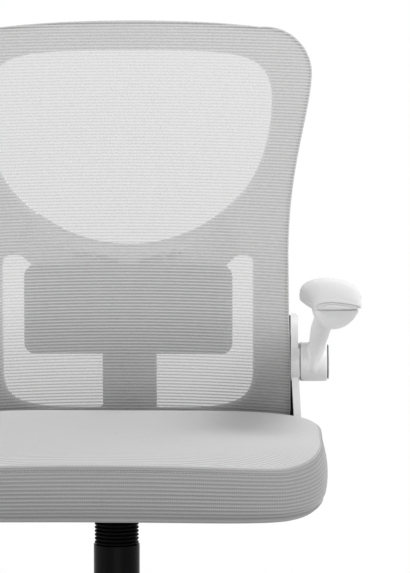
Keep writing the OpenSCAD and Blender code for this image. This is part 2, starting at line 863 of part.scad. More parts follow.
// Rows of the cushion's skin: how far each is drawn in, and its height, from the floor of the hollow outwards
module seat_cushion() {
    steps = 60;
    seam = seat_z + band_h;
    bulge = 2;
    groove = 2.4;
    thread = 1.2;
    rows = [
        [rim_w, pan_z + pan_t + gap, 0],
        [rim_w, seat_z + rib_t, 0],
        [rim_w - rib_t, seat_z, 0],
        [3 * rib_t, seat_z, 0],
        [rib_t, seat_z + rib_t, 0],
        [bulge / 2, seat_z + 0.3 * band_h, 0],
        [0, seat_z + 0.55 * band_h, 0.3],
        [bulge, seam - 4 * thread, 0.9],
        [bulge + groove, seam - thread, 1],
        [bulge + groove, seam + thread, 1],
        [bulge + 2 * groove, seam + 3 * thread, 1],
        [6 * groove, seam + 0.5 * crown_h, 1],
        [16 * groove, seam + 0.8 * crown_h, 1],
        [36 * groove, seam + crown_h, 1]];
    color(light_grey) loft([for (r = rows) [for (i = [steps - 1:-1:0])
        let (p = seat_point(360 * i / steps, r[0])) [p[0], p[1], r[1] + r[2] * seat_slope(p[1])]]]);
}

module seat_bolts() {
    color(steel) at_seat_bolts() {
        translate([0, 0, plate_z - bolt_head_h]) cylinder(d = bolt_head_d, h = bolt_head_h);
        translate([0, 0, plate_z - over]) cylinder(d = bolt_m, h = plate_t + pan_t - bolt_short);
    }
}

// Back

module back_slab(near, far) {
    half = shoulder_x + corner_r / 4;
    column = [for (i = [0:cell_z]) back_row_z(i)];
    line = [for (j = [0:cell_x]) half * (2 * j / cell_x - 1)];
    front = [for (z = column, x = line) [x, back_y(z) - wrap(x) + near, z]];
    rear = [for (z = column, x = line) [x, back_y(z) - wrap(x) + far, z]];
    n = cell_x + 1;
    m = cell_z + 1;
    size = n * m;
    quads = [for (i = [0:cell_z - 1], j = [0:cell_x - 1])
        [i * n + j, (i + 1) * n + j, (i + 1) * n + j + 1, i * n + j + 1]];
    back_quads = [for (q = quads) [for (k = [3:-1:0]) q[k] + size]];
    low_edge = [for (j = [0:cell_x - 1]) [j, j + 1, j + 1 + size, j + size]];
    high_edge = [for (j = [0:cell_x - 1]) let (b = cell_z * n + j) [b + 1, b, b + size, b + 1 + size]];
    left_edge = [for (i = [0:cell_z - 1]) let (b = i * n) [b + n, b, b + size, b + n + size]];
    right_edge = [for (i = [0:cell_z - 1]) let (b = i * n + cell_x) [b, b + n, b + n + size, b + size]];
    polyhedron(concat(front, rear), convexity = 8,
        faces = concat(quads, back_quads, low_edge, high_edge, left_edge, right_edge));
}

function from_top(share) = back_top_z - share * back_h;
function back_half() = concat(
    curve([[0, back_top_z], [0.35 * shoulder_x, back_top_z], [0.55 * shoulder_x, back_top_z - top_fall / 2],
        [0.71 * shoulder_x, back_top_z - top_fall]], 4),
    arc([shoulder_x - corner_r, back_top_z - corner_r - top_fall], corner_r, corner_angle, 0, 7),
    curve([[shoulder_x, back_top_z - corner_r - top_fall], [0.987 * shoulder_x, from_top(0.234)],
        [waist_x, from_top(0.346)], [waist_x, from_top(0.551)]], 5),
    [[waist_x + waist_flare, from_top(0.802)]],
    arc([waist_x + waist_flare - foot_r, back_bottom_z + foot_r], foot_r, 0, -90, 5));

// A point of the upper window, and one of the lower window beside the spine, from shares of their sizes
function in_window(x, z) = [x * window_x, window_low_z + z * window_h];
function in_low_window(x, z) = [spine_half + x * (low_win_x - spine_half), low_win_low_z + z * low_win_h];

function window_half() = concat(
    curve([in_window(0, 1), in_window(0.33, 1), in_window(0.6, 1), in_window(0.77, 0.97)], 3),
    curve([in_window(0.77, 0.97), in_window(0.94, 0.94), in_window(1, 0.86), in_window(1, 0.75)], 5),
    curve([in_window(1, 0.75), in_window(1, 0.565), in_window(0.93, 0.36), in_window(0.76, 0.24)], 5),
    window_sill());
function window_sill() = curve([in_window(0.76, 0.24), in_window(0.58, 0.105),
    in_window(0.33, 0), in_window(0, 0)], 6);

function low_window_top() = curve([in_low_window(0, 0.44), in_low_window(0, 0.64), in_low_window(0.36, 0.71),
    in_low_window(0.84, 1)], 7);
function lower_window() = concat(
    arc([low_win_x - window_round, low_win_top_z - window_round], window_round, 90, 0, 3),
    arc([low_win_x - window_foot_r, low_win_low_z + window_foot_r], window_foot_r, 0, -90, 5),
    arc([spine_half + spine_foot_r, low_win_low_z + spine_foot_r], spine_foot_r, 270, 180, 3),
    low_window_top());

module cut_through(points) {
    front_profile(points, back_depths[1] - 2 * corner_r, back_depths[3] + 2 * corner_r);
}

function arc_slot() = concat(
    slot_side(1), reversed(slot_side(-1)));
function slot_side(s) = arc([0, arc_slot_z + arc_slot_r], arc_slot_r + s * arc_slot_w / 2,
    -90 - arc_slot_angle, -90 + arc_slot_angle, 10);

// Outline of the spine, its yoke and the cross band, all set back behind the lumbar pad
function reversed(p) = [for (i = [len(p) - 1:-1:0]) p[i]];
function yoke_half() = concat(
    reversed(window_sill()),
    [[waist_x - foot_round, window_low_z + 0.34 * window_h],
     [waist_x - foot_round, low_win_top_z - window_round]],
    reversed(low_window_top()),
    [[spine_half, back_bottom_z + over], [0, back_bottom_z + over]]);

module back_frame() {
    color(white) difference() {
        union() {
            difference() {
                intersection() {
                    back_slab(rim_off, rim_off + rim_depth);
                    cut_through(mirrored(back_half()));
                }
                cut_through(mirrored(window_half()));
                both_sides() cut_through(lower_window());
                cut_through(mirrored([in_window(0, 0.16), in_window(0.62, 0.16), in_low_window(0.88, 1),
                    [spine_half + over, low_win_low_z]]));
            }
            intersection() {
                back_slab(spine_off, spine_rear_off);
                cut_through(mirrored(yoke_half()));
            }
        }
        cut_through(arc_slot());
        at_back_bolts() translate([0, 0, -back_bolt_sunk - over])
            cylinder(d = back_bolt_m + 2 * fit, h = back_bolt_sunk + 2 * over);
        translate([-guide_neck - 4 * fit, lumbar_y, guide_low_z])
            cube([2 * guide_neck + 8 * fit, guide_y - lumbar_y + over, guide_high_z - guide_low_z]);
        translate([-guide_head - 4 * fit, guide_y - 4 * fit, guide_low_z])
            cube([2 * guide_head + 8 * fit, guide_depth + 8 * fit, guide_high_z - guide_low_z]);
    }
}

module back_mesh() {
    color(mesh_grey) intersection() {
        back_slab(0, mesh_t);
        cut_through(mirrored(back_half()));
    }
}

function bar_face(z) = back_y(z) + spine_rear_off + 3 * gap;
function bar_line() = concat(
    curve([[bar_start, plate_z - bar_t / 2 - fit], [2 * bar_start, plate_z - bar_t / 2 - fit],
        [2 * bar_start, bar_low_z], [0.9 * seat_front, bar_low_z]], 8),
    [for (i = [1:8]) bezier([[0.9 * seat_front, bar_low_z], [bar_face(back_bottom_z) - bar_t, bar_low_z],
        [bar_face(back_bottom_z) + bar_t / 2, bar_low_z + bar_t],
        [bar_face(back_bottom_z) + bar_t / 2, back_bottom_z - 0.3 * bar_t]], i / 8)],
    [for (i = [1:bar_rows]) [bar_face(back_row_z(i)) + bar_t / 2, back_row_z(i)]]);
function heading_at(p, i) = let (a = p[max(i - 1, 0)], b = p[min(i + 1, len(p) - 1)], d = b - a) d / norm(d);

// Square to the spine's rear face, pointing to the rear
module at_back_bolts() {
    for (z = back_bolt_zs) translate([0, back_y(z) + spine_rear_off, z])
        rotate([-90 - atan((back_y(z + over) - back_y(z)) / over), 0, 0]) children();
}

module back_upright() {
    line = bar_line();
    upper = [for (i = [0:len(line) - 1]) let (d = heading_at(line, i)) line[i] + bar_t / 2 * [-d[1], d[0]]];
    lower = [for (i = [len(line) - 1:-1:0]) let (d = heading_at(line, i)) line[i] - bar_t / 2 * [-d[1], d[0]]];
    color(black) difference() {
        side_profile(concat(upper, lower), -bar_w / 2, bar_w / 2);
        at_back_bolts() cylinder(d = back_bolt_m + 2 * fit, h = bar_t + 6 * gap);
        at_back_bolts() translate([0, 0, bar_t + gap]) cylinder(d = bolt_head_d + 2 * gap, h = bar_t);
    }
}

module back_bolts() {
    color(steel) at_back_bolts() {
        translate([0, 0, -back_bolt_sunk]) cylinder(d = back_bolt_m, h = back_bolt_sunk + bar_t + 2 * gap);
        translate([0, 0, bar_t + 2 * gap]) cylinder(d = bolt_head_d, h = bolt_head_h);
    }
}

// Lumbar pad

module round_rect(half_w, half_h, r) {
    polygon(concat(arc([half_w - r, half_h - r], r, 0, 90, 6), arc([r - half_w, half_h - r], r, 90, 180, 6),
        arc([r - half_w, r - half_h], r, 180, 270, 6), arc([half_w - r, r - half_h], r, 270, 360, 6)));
}

module slot_loop(i) {
    w = slot_out - slot_step * i;
    h = slot_tall - slot_step * i;
    r = max(lumbar_corner - slot_step * i / 3, slot_w + over);
    difference() {
        round_rect(w + slot_w / 2, h + slot_w / 2, r);
        round_rect(w - slot_w / 2, h - slot_w / 2, r - slot_w);
        square([2 * slot_core, 2 * lumbar_h], center = true);
    }
}

module lumbar_pad() {
    centre_y = lumbar_y - lumbar_r;
    color(mesh_grey) {
        intersection() {
            translate([0, centre_y, lumbar_z - lumbar_h]) difference() {
                cylinder(r = lumbar_r + lumbar_t, h = 2 * lumbar_h, $fn = 256);
                translate([0, 0, -over]) cylinder(r = lumbar_r, h = 2 * lumbar_h + 2 * over, $fn = 256);
            }
            translate([0, lumbar_y + 4 * lumbar_t, lumbar_z]) rotate([90, 0, 0]) linear_extrude(15 * lumbar_t)
                difference() {
                    round_rect(lumbar_w / 2, lumbar_h / 2, lumbar_corner);
                    for (i = [0:slot_loops - 1]) slot_loop(i);
                }
        }
        translate([-guide_neck, lumbar_y + lumbar_t / 2, lumbar_z - guide_len / 2])
            cube([2 * guide_neck, guide_y - lumbar_y - lumbar_t / 2 + over, guide_len]);
        translate([-guide_head, guide_y, lumbar_z - guide_len / 2])
            cube([2 * guide_head, guide_depth, guide_len]);
    }
}

// Arms, drawn on the right-hand side of the picture and mirrored

module arm_bracket() {
    x0 = bracket_x + bracket_lean;
    x1 = x0 + bracket_t;
    top = bracket_top_z;
    foot_top = bracket_foot_z + bracket_foot_t;
    boss_r = arm_boss_d / 2;
    y0 = hub_y - bracket_w / 2;
    strip = concat(
        [[x0, seat_z + band_h], [bracket_x, hub_z], [bracket_x, top - bracket_round],
         [bracket_x + bracket_round, top], [bracket_x + bracket_t - bracket_round, top],
         [bracket_x + bracket_t, top - bracket_round],
         [bracket_x + bracket_t, hub_z], [x1, seat_z + band_h]],
        arc([x1 - foot_round, bracket_foot_z + foot_round], foot_round, 0, -90, 4),
        [[x0 - bracket_t, bracket_foot_z], [x0 - bracket_t, foot_top], [x0, foot_top + bracket_round]]);
    side = 1.2 * boss_r;
    front_y = arm_bolt_ys[0] - 1.4 * boss_r;
    foot = [[x0 + bracket_round, y0 + fit], [x0 + bracket_round, y0 + bracket_w],
        [x0 - 2 * boss_r, y0 + bracket_w], [arm_bolt_x - side, arm_bolt_ys[1] + 1.3 * boss_r],
        [arm_bolt_x - side, front_y], [arm_bolt_x + side, front_y],
        [arm_bolt_x + side, arm_bolt_ys[1] - boss_r / 2], [x0 - side, y0 + fit]];
    rear_y = flange_y + flange_t;
    blade = concat([[y0, bracket_foot_z - over]],
        arc([hub_y, top - bracket_w / 2], bracket_w / 2, 180, 50, 8),
        [[rear_y, flange_high_z], [rear_y, flange_low_z], [y0 + bracket_w, flange_low_z - bracket_w / 2],
         [y0 + bracket_w, bracket_foot_z - over]]);
    difference() {
        union() {
            intersection() {
                front_profile(strip, y0, rear_y);
                side_profile(blade, 0, 2 * pad_x);
            }
            front_profile([[bracket_x - 0.8 * flange_in, flange_low_z], [bracket_x - flange_in, flange_low_z + 0.2 * flange_in],
                [bracket_x - flange_in, flange_low_z + flange_in], [bracket_x - flange_t, flange_high_z],
                [bracket_x + bracket_lean + over, flange_high_z], [bracket_x + bracket_lean + over, flange_low_z]],
                flange_y, rear_y);
            across(bracket_x, hub_x - gap, hub_d, hub_y, hub_z);
            translate([0, 0, bracket_foot_z]) linear_extrude(bracket_foot_t) polygon(foot);
            for (y = arm_bolt_ys) translate([arm_bolt_x, y, bracket_foot_z])
                cylinder(d = arm_boss_d, h = pan_z - bracket_foot_z);
        }
        across(bracket_x - over, 2 * pad_x, hub_pin_d + 2 * fit, hub_y, hub_z);
        for (y = arm_bolt_ys) translate([arm_bolt_x, y, bracket_foot_z - over])
            cylinder(d = bolt_m + 2 * fit, h = pan_z - bracket_foot_z + 2 * over);
    }
}

module arm_bracket_right() {
    color(white) arm_bracket();
}

module arm_bracket_left() {
    color(white) mirror([1, 0, 0]) arm_bracket();
}

module arm_pivots() {
    color(light_grey) both_sides() {
        across(bracket_x, hub_x + hub_len + gap + cap_t, hub_pin_d, hub_y, hub_z);
        across(hub_x + hub_len + gap, hub_x + hub_len + gap + cap_t, cap_d, hub_y, hub_z);
    }
}

module arm_bolts() {
    color(steel) both_sides() for (y = arm_bolt_ys) translate([arm_bolt_x, y, bracket_foot_z - bolt_head_h]) {
        cylinder(d = bolt_head_d, h = bolt_head_h);
        cylinder(d = bolt_m, h = bolt_head_h + pan_z - bracket_foot_z + pan_t - bolt_short - hole_roof);
    }
}

module arm_beam() {
    tail = pad_front + pad_len - beam_tail_in;
    nose = pad_front + beam_nose_in;
    low_z = scoop_z - beam_h;
    side = concat(
        [[nose, scoop_z - 0.3 * beam_h], [nose, scoop_z], [tail, scoop_z]],
        curve([[tail, scoop_z], [hub_y - hub_r, scoop_z - 0.13 * beam_h],
            [hub_y + 0.5 * hub_r, hub_z + 0.64 * arm_rise], [hub_y + 0.92 * hub_r, hub_z + 0.33 * hub_r]], 8),
        [[hub_y, hub_z], [hub_y - 0.96 * hub_r, hub_z - 0.2 * hub_r]],
        curve([[hub_y - 0.96 * hub_r, hub_z - 0.12 * hub_r], [hub_y - 1.38 * hub_r, hub_z + 0.42 * arm_rise],
            [hub_y - 2.5 * hub_r, low_z], [hub_y - 4.7 * hub_r, low_z]], 8),
        curve([[nose + 1.3 * beam_h, low_z], [nose + 0.6 * beam_h, low_z],
            [nose + 0.1 * beam_h, scoop_z - 0.7 * beam_h], [nose, scoop_z - 0.3 * beam_h]], 4));
    rim = over / beam_h;
    scoop = curve([on_beam(-0.63, rim), on_beam(-0.47, -1.35), on_beam(0.26, -1.35), on_beam(0.87, rim)], 10);
    inner = hub_x + 0.42 * hub_r;
    outer = hub_x + hub_len;
    neck = [[inner, hub_z - 0.42 * hub_r], [outer, hub_z - 0.42 * hub_r], [outer, hub_z + cap_d / 2 + over],
        on_beam(0.26, -1.4), on_beam(0.37, -0.6), on_beam(-0.32, -0.6), on_beam(-0.4, -1.48),
        [inner, hub_z + 0.92 * hub_r]];
    intersection() {
        side_profile(side, hub_x, 2 * pad_x);
        union() {
            front_profile(scoop, 2 * pad_front, hub_y + hub_d);
            front_profile(neck, 2 * pad_front, hub_y + hub_d);
        }
    }
}
// A point of the beam's cross-section, from shares of half the pad's width and of the beam's height
function on_beam(x, z) = [pad_x + x * pad_w / 2, scoop_z + z * beam_h];

module arm() {
    difference() {
        union() {
            across(hub_x, hub_x + hub_len, hub_d, hub_y, hub_z);
            arm_beam();
        }
        across(hub_x - over, hub_x + hub_len + over, hub_pin_d + 2 * fit, hub_y, hub_z);
    }
}

module arm_right() {
    color(white) arm();
}

module arm_left() {
    color(white) mirror([1, 0, 0]) arm();
}

// How much of the pad's full height it has at a share of its length from the front
function pad_rise(t) = 0.26 + 0.74 * (1 - pow(1 - min(t / 0.2, 1), 2));
// How much of its half width it has there, more drawn in on the inner side than on the outer
function pad_side(t, s) = (1 - (s < 0 ? 0.26 : 0.07) * pow(1 - min(t / 0.38, 1), 2)) * pad_tail(t);
function pad_tail(t) = sqrt(max(1 - pow(max((t - 0.7) / 0.3, 0), 2), 0.02));
// One crowned cross-section of the pad there, with its flat underside
function pad_row(t, n) = let (
        tall = pad_t * pad_rise(t) * (1 - 0.25 * pow(max(t - 0.5, 0) * 2, 2)) * sqrt(pad_tail(t)), edge = 0.43 * tall)
    [for (j = [0:n - 1]) let (a = 360 * (j + 0.5) / n, up = sin(a) > 0,
            x = pad_w / 2 * pad_side(t, cos(a)) * signed_pow(cos(a), up ? 0.95 : 0.5),
            z = edge + (up ? (tall - edge) * sin(a) : -edge * pow(abs(sin(a)), 0.6)))
        [pad_x + x, pad_front + pad_len * t,
         pad_seat_z + max(0, z - pad_roll_share * x * min(2 * z / pad_t, 1))]];

module arm_pad() {
    n = 24;
    stations = [0, 0.01, 0.03, 0.06, 0.1, 0.15, 0.22, 0.32, 0.45, 0.6, 0.7, 0.8, 0.88, 0.94, 0.98, 1];
    loft([for (t = stations) pad_row(t, n)]);
}

module arm_pad_right() {
    color(light_grey) arm_pad();
}

module arm_pad_left() {
    color(light_grey) mirror([1, 0, 0]) arm_pad();
}

base_star();
caster_stems();
gas_outer_tube();
guide_bush();
cover_lower();
cover_middle();
cover_upper();
column_boot();
piston_rod();
rod_bearing();
pressure_tube();
gas_button();
mechanism_housing();
tension_nut();
rocker_pin();
lever_rocker();
lever_rod();
lever_paddle();
tension_knob();
tension_bolt();
seat_plate();
tilt_pin();
tilt_spring();
seat_pan();
seat_cushion();
seat_bolts();
back_upright();
back_frame();
back_mesh();
back_bolts();
lumbar_pad();
arm_bracket_left();
arm_bracket_right();
arm_pivots();
arm_bolts();
arm_left();
arm_right();
arm_pad_left();
arm_pad_right();
for (k = [1:legs]) {
    caster_hood(k);
    caster_axle(k);
    caster_wheel(k, 1);
    caster_wheel(k, -1);
}
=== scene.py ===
import json
import math

import bmesh
import bpy
import numpy as np
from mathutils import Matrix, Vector
from mathutils.bvhtree import BVHTree

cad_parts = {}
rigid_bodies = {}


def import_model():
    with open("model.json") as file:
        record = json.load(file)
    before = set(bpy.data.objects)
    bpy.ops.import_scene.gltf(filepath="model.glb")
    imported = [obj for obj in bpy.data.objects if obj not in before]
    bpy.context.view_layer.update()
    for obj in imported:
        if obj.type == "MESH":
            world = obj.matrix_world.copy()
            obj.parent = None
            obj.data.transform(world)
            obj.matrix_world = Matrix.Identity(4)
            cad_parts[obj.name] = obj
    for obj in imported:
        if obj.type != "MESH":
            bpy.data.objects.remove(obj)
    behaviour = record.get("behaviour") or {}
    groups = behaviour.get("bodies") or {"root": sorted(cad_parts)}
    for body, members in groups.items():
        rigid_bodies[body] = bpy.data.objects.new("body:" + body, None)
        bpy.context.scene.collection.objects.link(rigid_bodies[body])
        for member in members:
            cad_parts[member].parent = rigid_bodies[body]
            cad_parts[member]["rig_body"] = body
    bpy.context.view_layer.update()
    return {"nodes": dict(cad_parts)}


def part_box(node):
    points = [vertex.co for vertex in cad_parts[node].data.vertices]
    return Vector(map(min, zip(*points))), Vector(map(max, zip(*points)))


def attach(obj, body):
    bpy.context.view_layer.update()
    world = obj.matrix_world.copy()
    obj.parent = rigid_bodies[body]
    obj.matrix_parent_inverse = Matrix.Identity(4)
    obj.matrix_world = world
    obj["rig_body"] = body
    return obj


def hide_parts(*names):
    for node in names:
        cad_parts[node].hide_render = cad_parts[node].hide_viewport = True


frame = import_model()
scene = bpy.context.scene
np.random.seed(7)

# node tools
socketKinds = {"Geometry": "NodeSocketGeometry", "Material": "NodeSocketMaterial", "Color": "NodeSocketColor",
               "Sides": "NodeSocketInt"}


def addNode(tree, kind, inputs=None, **settings):
    # a node with its settings; each input takes a value or another node's output
    node = tree.nodes.new(kind)
    for label, value in settings.items():
        setattr(node, label, value)
    for label, value in (inputs or {}).items():
        if isinstance(value, bpy.types.NodeSocket):
            tree.links.new(value, node.inputs[label])
        else:
            node.inputs[label].default_value = value
    return node


def mathNode(tree, operation, *values):
    return addNode(tree, "ShaderNodeMath", dict(enumerate(values)), operation=operation).outputs[0]


def newTree(name, kind, inputs, outputs):
    # a tree with named inputs and their first values; what socketKinds doesn't name is a number
    tree = bpy.data.node_groups.new(name, kind)
    for label, value in inputs.items():
        kindOf = socketKinds.get(label, "NodeSocketFloat")
        socket = tree.interface.new_socket(name=label, in_out="INPUT", socket_type=kindOf)
        if value is not None:
            socket.default_value = value
    for label in outputs:
        kindOf = socketKinds.get(label, "NodeSocketFloat")
        tree.interface.new_socket(name=label, in_out="OUTPUT", socket_type=kindOf)
    return tree, tree.nodes.new("NodeGroupInput").outputs, tree.nodes.new("NodeGroupOutput").inputs


def ridgeNode(tree, phase, narrow):
    # 1 on a rib's crest, 0 midway between two ribs
    wave = mathNode(tree, "COSINE", mathNode(tree, "MULTIPLY", phase, 2 * math.pi))
    return mathNode(tree, "POWER", mathNode(tree, "MULTIPLY_ADD", wave, 0.5, 0.5), narrow)


# camera, light and floor
cameraSetup = {"place": (0.2021, -2.9994, 0.8528), "yaw": -1.862, "pitch": 3.465, "lens": 160.6}
worldSetup = {"white": (1, 1, 1, 1), "strength": 0.34}
floorSetup = {"radius": 2.6, "sides": 96, "color": (0.93, 0.93, 0.93, 1), "fadeFrom": 0.75, "fadeTo": 1.75}
lampAim = Vector((0, 0, 0.6))
# the main lamp stands high on the right, so that the arm pad shades the back's foot
lampSetup = {
    "mainLight": {"place": (1.5, -1.2, 2.5), "power": 44, "size": 1.0},
    "sideLight": {"place": (-2.6, -0.5, 1.2), "power": 30, "size": 1.6},
    "lowLight": {"place": (0.3, -2.6, 0.5), "power": 9, "size": 1.6},
    "rearLight": {"place": (0.8, 2.6, 1.3), "power": 26, "size": 1.6},
}


def makeCamera():
    yaw, pitch = math.radians(cameraSetup["yaw"]), math.radians(cameraSetup["pitch"])
    look = Vector((math.sin(yaw) * math.cos(pitch), math.cos(yaw) * math.cos(pitch), -math.sin(pitch)))
    data = bpy.data.cameras.new("photoCamera")
    data.lens = cameraSetup["lens"]
    data.sensor_width = 36
    data.clip_end = 50
    cam = bpy.data.objects.new("photoCamera", data)
    scene.collection.objects.link(cam)
    cam.location = cameraSetup["place"]
    cam.rotation_euler = look.to_track_quat("-Z", "Y").to_euler()
    scene.camera = cam


def makeWorld():
    # white wherever the background itself is seen, softer where it lights the chair
    world = bpy.data.worlds.new("softWorld")
    scene.world = world
    world.use_nodes = True
    t = world.node_tree
    t.nodes.clear()
    white = worldSetup["white"]
    seen = addNode(t, "ShaderNodeBackground", {"Color": white})
    lit = addNode(t, "ShaderNodeBackground", {"Color": white, "Strength": worldSetup["strength"]})
    path = t.nodes.new("ShaderNodeLightPath").outputs
    direct = mathNode(t, "MAXIMUM", path["Is Camera Ray"], path["Is Transmission Ray"])
    shown = mathNode(t, "MAXIMUM", direct, path["Is Glossy Ray"])
    mix = addNode(t, "ShaderNodeMixShader", {0: shown, 1: lit.outputs[0], 2: seen.outputs[0]})
    addNode(t, "ShaderNodeOutputWorld", {0: mix.outputs[0]})


def makeFloor():
    bm = bmesh.new()
    bmesh.ops.create_circle(bm, cap_ends=True, segments=floorSetup["sides"], radius=floorSetup["radius"])
    mesh = bpy.data.meshes.new("studioFloor")
    bm.to_mesh(mesh)
    bm.free()
    floor = bpy.data.objects.new("studioFloor", mesh)
    scene.collection.objects.link(floor)
    mat = bpy.data.materials.new("paleFloor")
    mat.use_nodes = True
    t = mat.node_tree
    t.nodes.clear()
    # the floor fades out towards its rim
    coord = t.nodes.new("ShaderNodeTexCoord")
    far = addNode(t, "ShaderNodeVectorMath", {0: coord.outputs["Object"]}, operation="LENGTH")
    reach = {"Value": far.outputs["Value"], "From Min": floorSetup["fadeFrom"],
             "From Max": floorSetup["fadeTo"]}
    fade = addNode(t, "ShaderNodeMapRange", reach, interpolation_type="SMOOTHSTEP")
    paint = addNode(t, "ShaderNodeBsdfDiffuse", {"Color": floorSetup["color"]})
    clear = t.nodes.new("ShaderNodeBsdfTransparent")
    mix = addNode(t, "ShaderNodeMixShader", {0: fade.outputs[0], 1: paint.outputs[0], 2: clear.outputs[0]})
    addNode(t, "ShaderNodeOutputMaterial", {0: mix.outputs[0]})
    mesh.materials.append(mat)


def makeLamps():
    for name, setup in lampSetup.items():
        data = bpy.data.lights.new(name, "AREA")
        data.energy = setup["power"]
        data.size = setup["size"]
        lamp = bpy.data.objects.new(name, data)
        scene.collection.objects.link(lamp)
        lamp.location = setup["place"]
        lamp.rotation_euler = (lampAim - Vector(setup["place"])).to_track_quat("-Z", "Y").to_euler()


makeCamera()
makeWorld()
makeFloor()
makeLamps()
scene.view_settings.view_transform = "Standard"
print("stage: camera, light and floor")

# shader groups and materials
toneLook = {"scale": 9.0, "detail": 5.0, "dustColor": (0.62, 0.61, 0.59, 1), "dustPower": 3.0,
            "roughShare": 0.8}
grainLook = {"coarse": 0.4, "cells": 0.6, "depth": 0.0004}
knitLook = {"slant": 0.35, "noiseScale": 700.0, "noiseDetail": 3.0, "loopHeight": 0.6, "loopShade": 0.12,
            "fuzzShade": 0.4, "roughness": 0.85, "specular": 0.25, "drift": 0.05, "bump": 0.5,
            "valleyGap": 0.85}


def toned(tree, color, value):
    return addNode(tree, "ShaderNodeHueSaturation", {"Color": color, "Value": value}).outputs[0]


def makeToneGroup():
    # slow drift of colour and roughness, with a little dust on upward faces
    inputs = {"Color": (0.8, 0.8, 0.8, 1), "Roughness": 0.5, "Drift": 0.06, "Dust": 0.03}
    g, given, result = newTree("toneDrift", "ShaderNodeTree", inputs, ["Color", "Roughness"])
    coord, geo = g.nodes.new("ShaderNodeTexCoord"), g.nodes.new("ShaderNodeNewGeometry")
    noise = addNode(g, "ShaderNodeTexNoise", {"Vector": coord.outputs["Object"], "Scale": toneLook["scale"],
                                              "Detail": toneLook["detail"]}).outputs[0]
    swing = mathNode(g, "MULTIPLY", mathNode(g, "SUBTRACT", noise, 0.5), given["Drift"])
    hue = toned(g, given["Color"], mathNode(g, "ADD", swing, 1.0))
    upward = addNode(g, "ShaderNodeSeparateXYZ", {0: geo.outputs["Normal"]}).outputs["Z"]
    up = mathNode(g, "POWER", mathNode(g, "MAXIMUM", upward, 0.0), toneLook["dustPower"])
    dust = mathNode(g, "MULTIPLY", mathNode(g, "MULTIPLY", up, noise), given["Dust"])
    dusty = {"Factor": dust, "A": hue, "B": toneLook["dustColor"]}
    mix = addNode(g, "ShaderNodeMix", dusty, data_type="RGBA")
    rough = mathNode(g, "MULTIPLY_ADD", swing, toneLook["roughShare"], given["Roughness"])
    g.links.new(mix.outputs["Result"], result["Color"])
    g.links.new(mathNode(g, "ADD", rough, dust), result["Roughness"])
    return g


def makeGrainGroup():
    # moulded grain: a fine cell pattern broken by noise, as a height from 0 to 1
    g, given, result = newTree("mouldGrain", "ShaderNodeTree", {"Scale": 900.0, "Break": 0.4}, ["Height"])
    place = g.nodes.new("ShaderNodeTexCoord").outputs["Object"]
    fine = {"Vector": place, "Scale": given["Scale"]}
    cells = addNode(g, "ShaderNodeTexVoronoi", fine, feature="SMOOTH_F1")
    coarse = mathNode(g, "MULTIPLY", given["Scale"], grainLook["coarse"])
    noise = addNode(g, "ShaderNodeTexNoise", {"Vector": place, "Scale": coarse})
    part = mathNode(g, "MULTIPLY", noise.outputs[0], given["Break"])
    height = mathNode(g, "MULTIPLY_ADD", cells.outputs["Distance"], grainLook["cells"], part)
    g.links.new(height, result["Height"])
    return g


def makeWeaveGroup():
    # knit: loops across the ribs from Object coordinates, and ribs from the rib phase
    inputs = {"Pitch": 0.0016, "Fuzz": 0.3, "Narrow": 1.0}
    g, given, result = newTree("ribKnit", "ShaderNodeTree", inputs, ["Height", "Shade", "Valley", "Loop"])
    place = g.nodes.new("ShaderNodeTexCoord").outputs["Object"]
    axes = addNode(g, "ShaderNodeSeparateXYZ", {0: place}).outputs
    phase = addNode(g, "ShaderNodeAttribute", attribute_name="ribPhase").outputs["Fac"]
    along = mathNode(g, "MULTIPLY_ADD", axes["Y"], knitLook["slant"], mathNode(g, "ABSOLUTE", axes["X"]))
    turn = mathNode(g, "MULTIPLY", mathNode(g, "DIVIDE", along, given["Pitch"]), 2 * math.pi)
    loop = mathNode(g, "MULTIPLY_ADD", mathNode(g, "SINE", turn), 0.5, 0.5)
    noise = addNode(g, "ShaderNodeTexNoise", {"Vector": place, "Scale": knitLook["noiseScale"],
                                              "Detail": knitLook["noiseDetail"]})
    fuzz = mathNode(g, "MULTIPLY", noise.outputs[0], given["Fuzz"])
    fuzzTone = mathNode(g, "MULTIPLY", fuzz, knitLook["fuzzShade"])
    g.links.new(mathNode(g, "MULTIPLY_ADD", loop, knitLook["loopHeight"], fuzz), result["Height"])
    g.links.new(mathNode(g, "MULTIPLY_ADD", loop, knitLook["loopShade"], fuzzTone), result["Shade"])
    g.links.new(mathNode(g, "SUBTRACT", 1.0, ridgeNode(g, phase, given["Narrow"])), result["Valley"])
    g.links.new(loop, result["Loop"])
    return g


def makeFootGroup():
    # painted shade: the front of the back darkens towards its foot, standing in for the shade where the seat,
    # arms and brackets close it in
    inputs = {"Low": 0.49, "High": 0.63, "Least": 0.5}
    g, given, result = newTree("footShade", "ShaderNodeTree", inputs, ["Value"])
    coord, geo = g.nodes.new("ShaderNodeTexCoord"), g.nodes.new("ShaderNodeNewGeometry")
    place = addNode(g, "ShaderNodeSeparateXYZ", {0: coord.outputs["Object"]})
    facing = addNode(g, "ShaderNodeSeparateXYZ", {0: geo.outputs["Normal"]})
    fall = addNode(g, "ShaderNodeMapRange", {"Value": place.outputs["Z"], "From Min": given["Low"],
                                             "From Max": given["High"], "To Min": given["Least"]})
    towards = mathNode(g, "MULTIPLY_ADD", facing.outputs["Y"], -2.0, 0.5)
    front = addNode(g, "ShaderNodeClamp", {"Value": towards})
    loss = mathNode(g, "MULTIPLY", mathNode(g, "SUBTRACT", 1.0, fall.outputs[0]), front.outputs[0])
    g.links.new(mathNode(g, "SUBTRACT", 1.0, loss), result["Value"])
    return g


toneGroup, grainGroup = makeToneGroup(), makeGrainGroup()
weaveGroup, footGroup = makeWeaveGroup(), makeFootGroup()


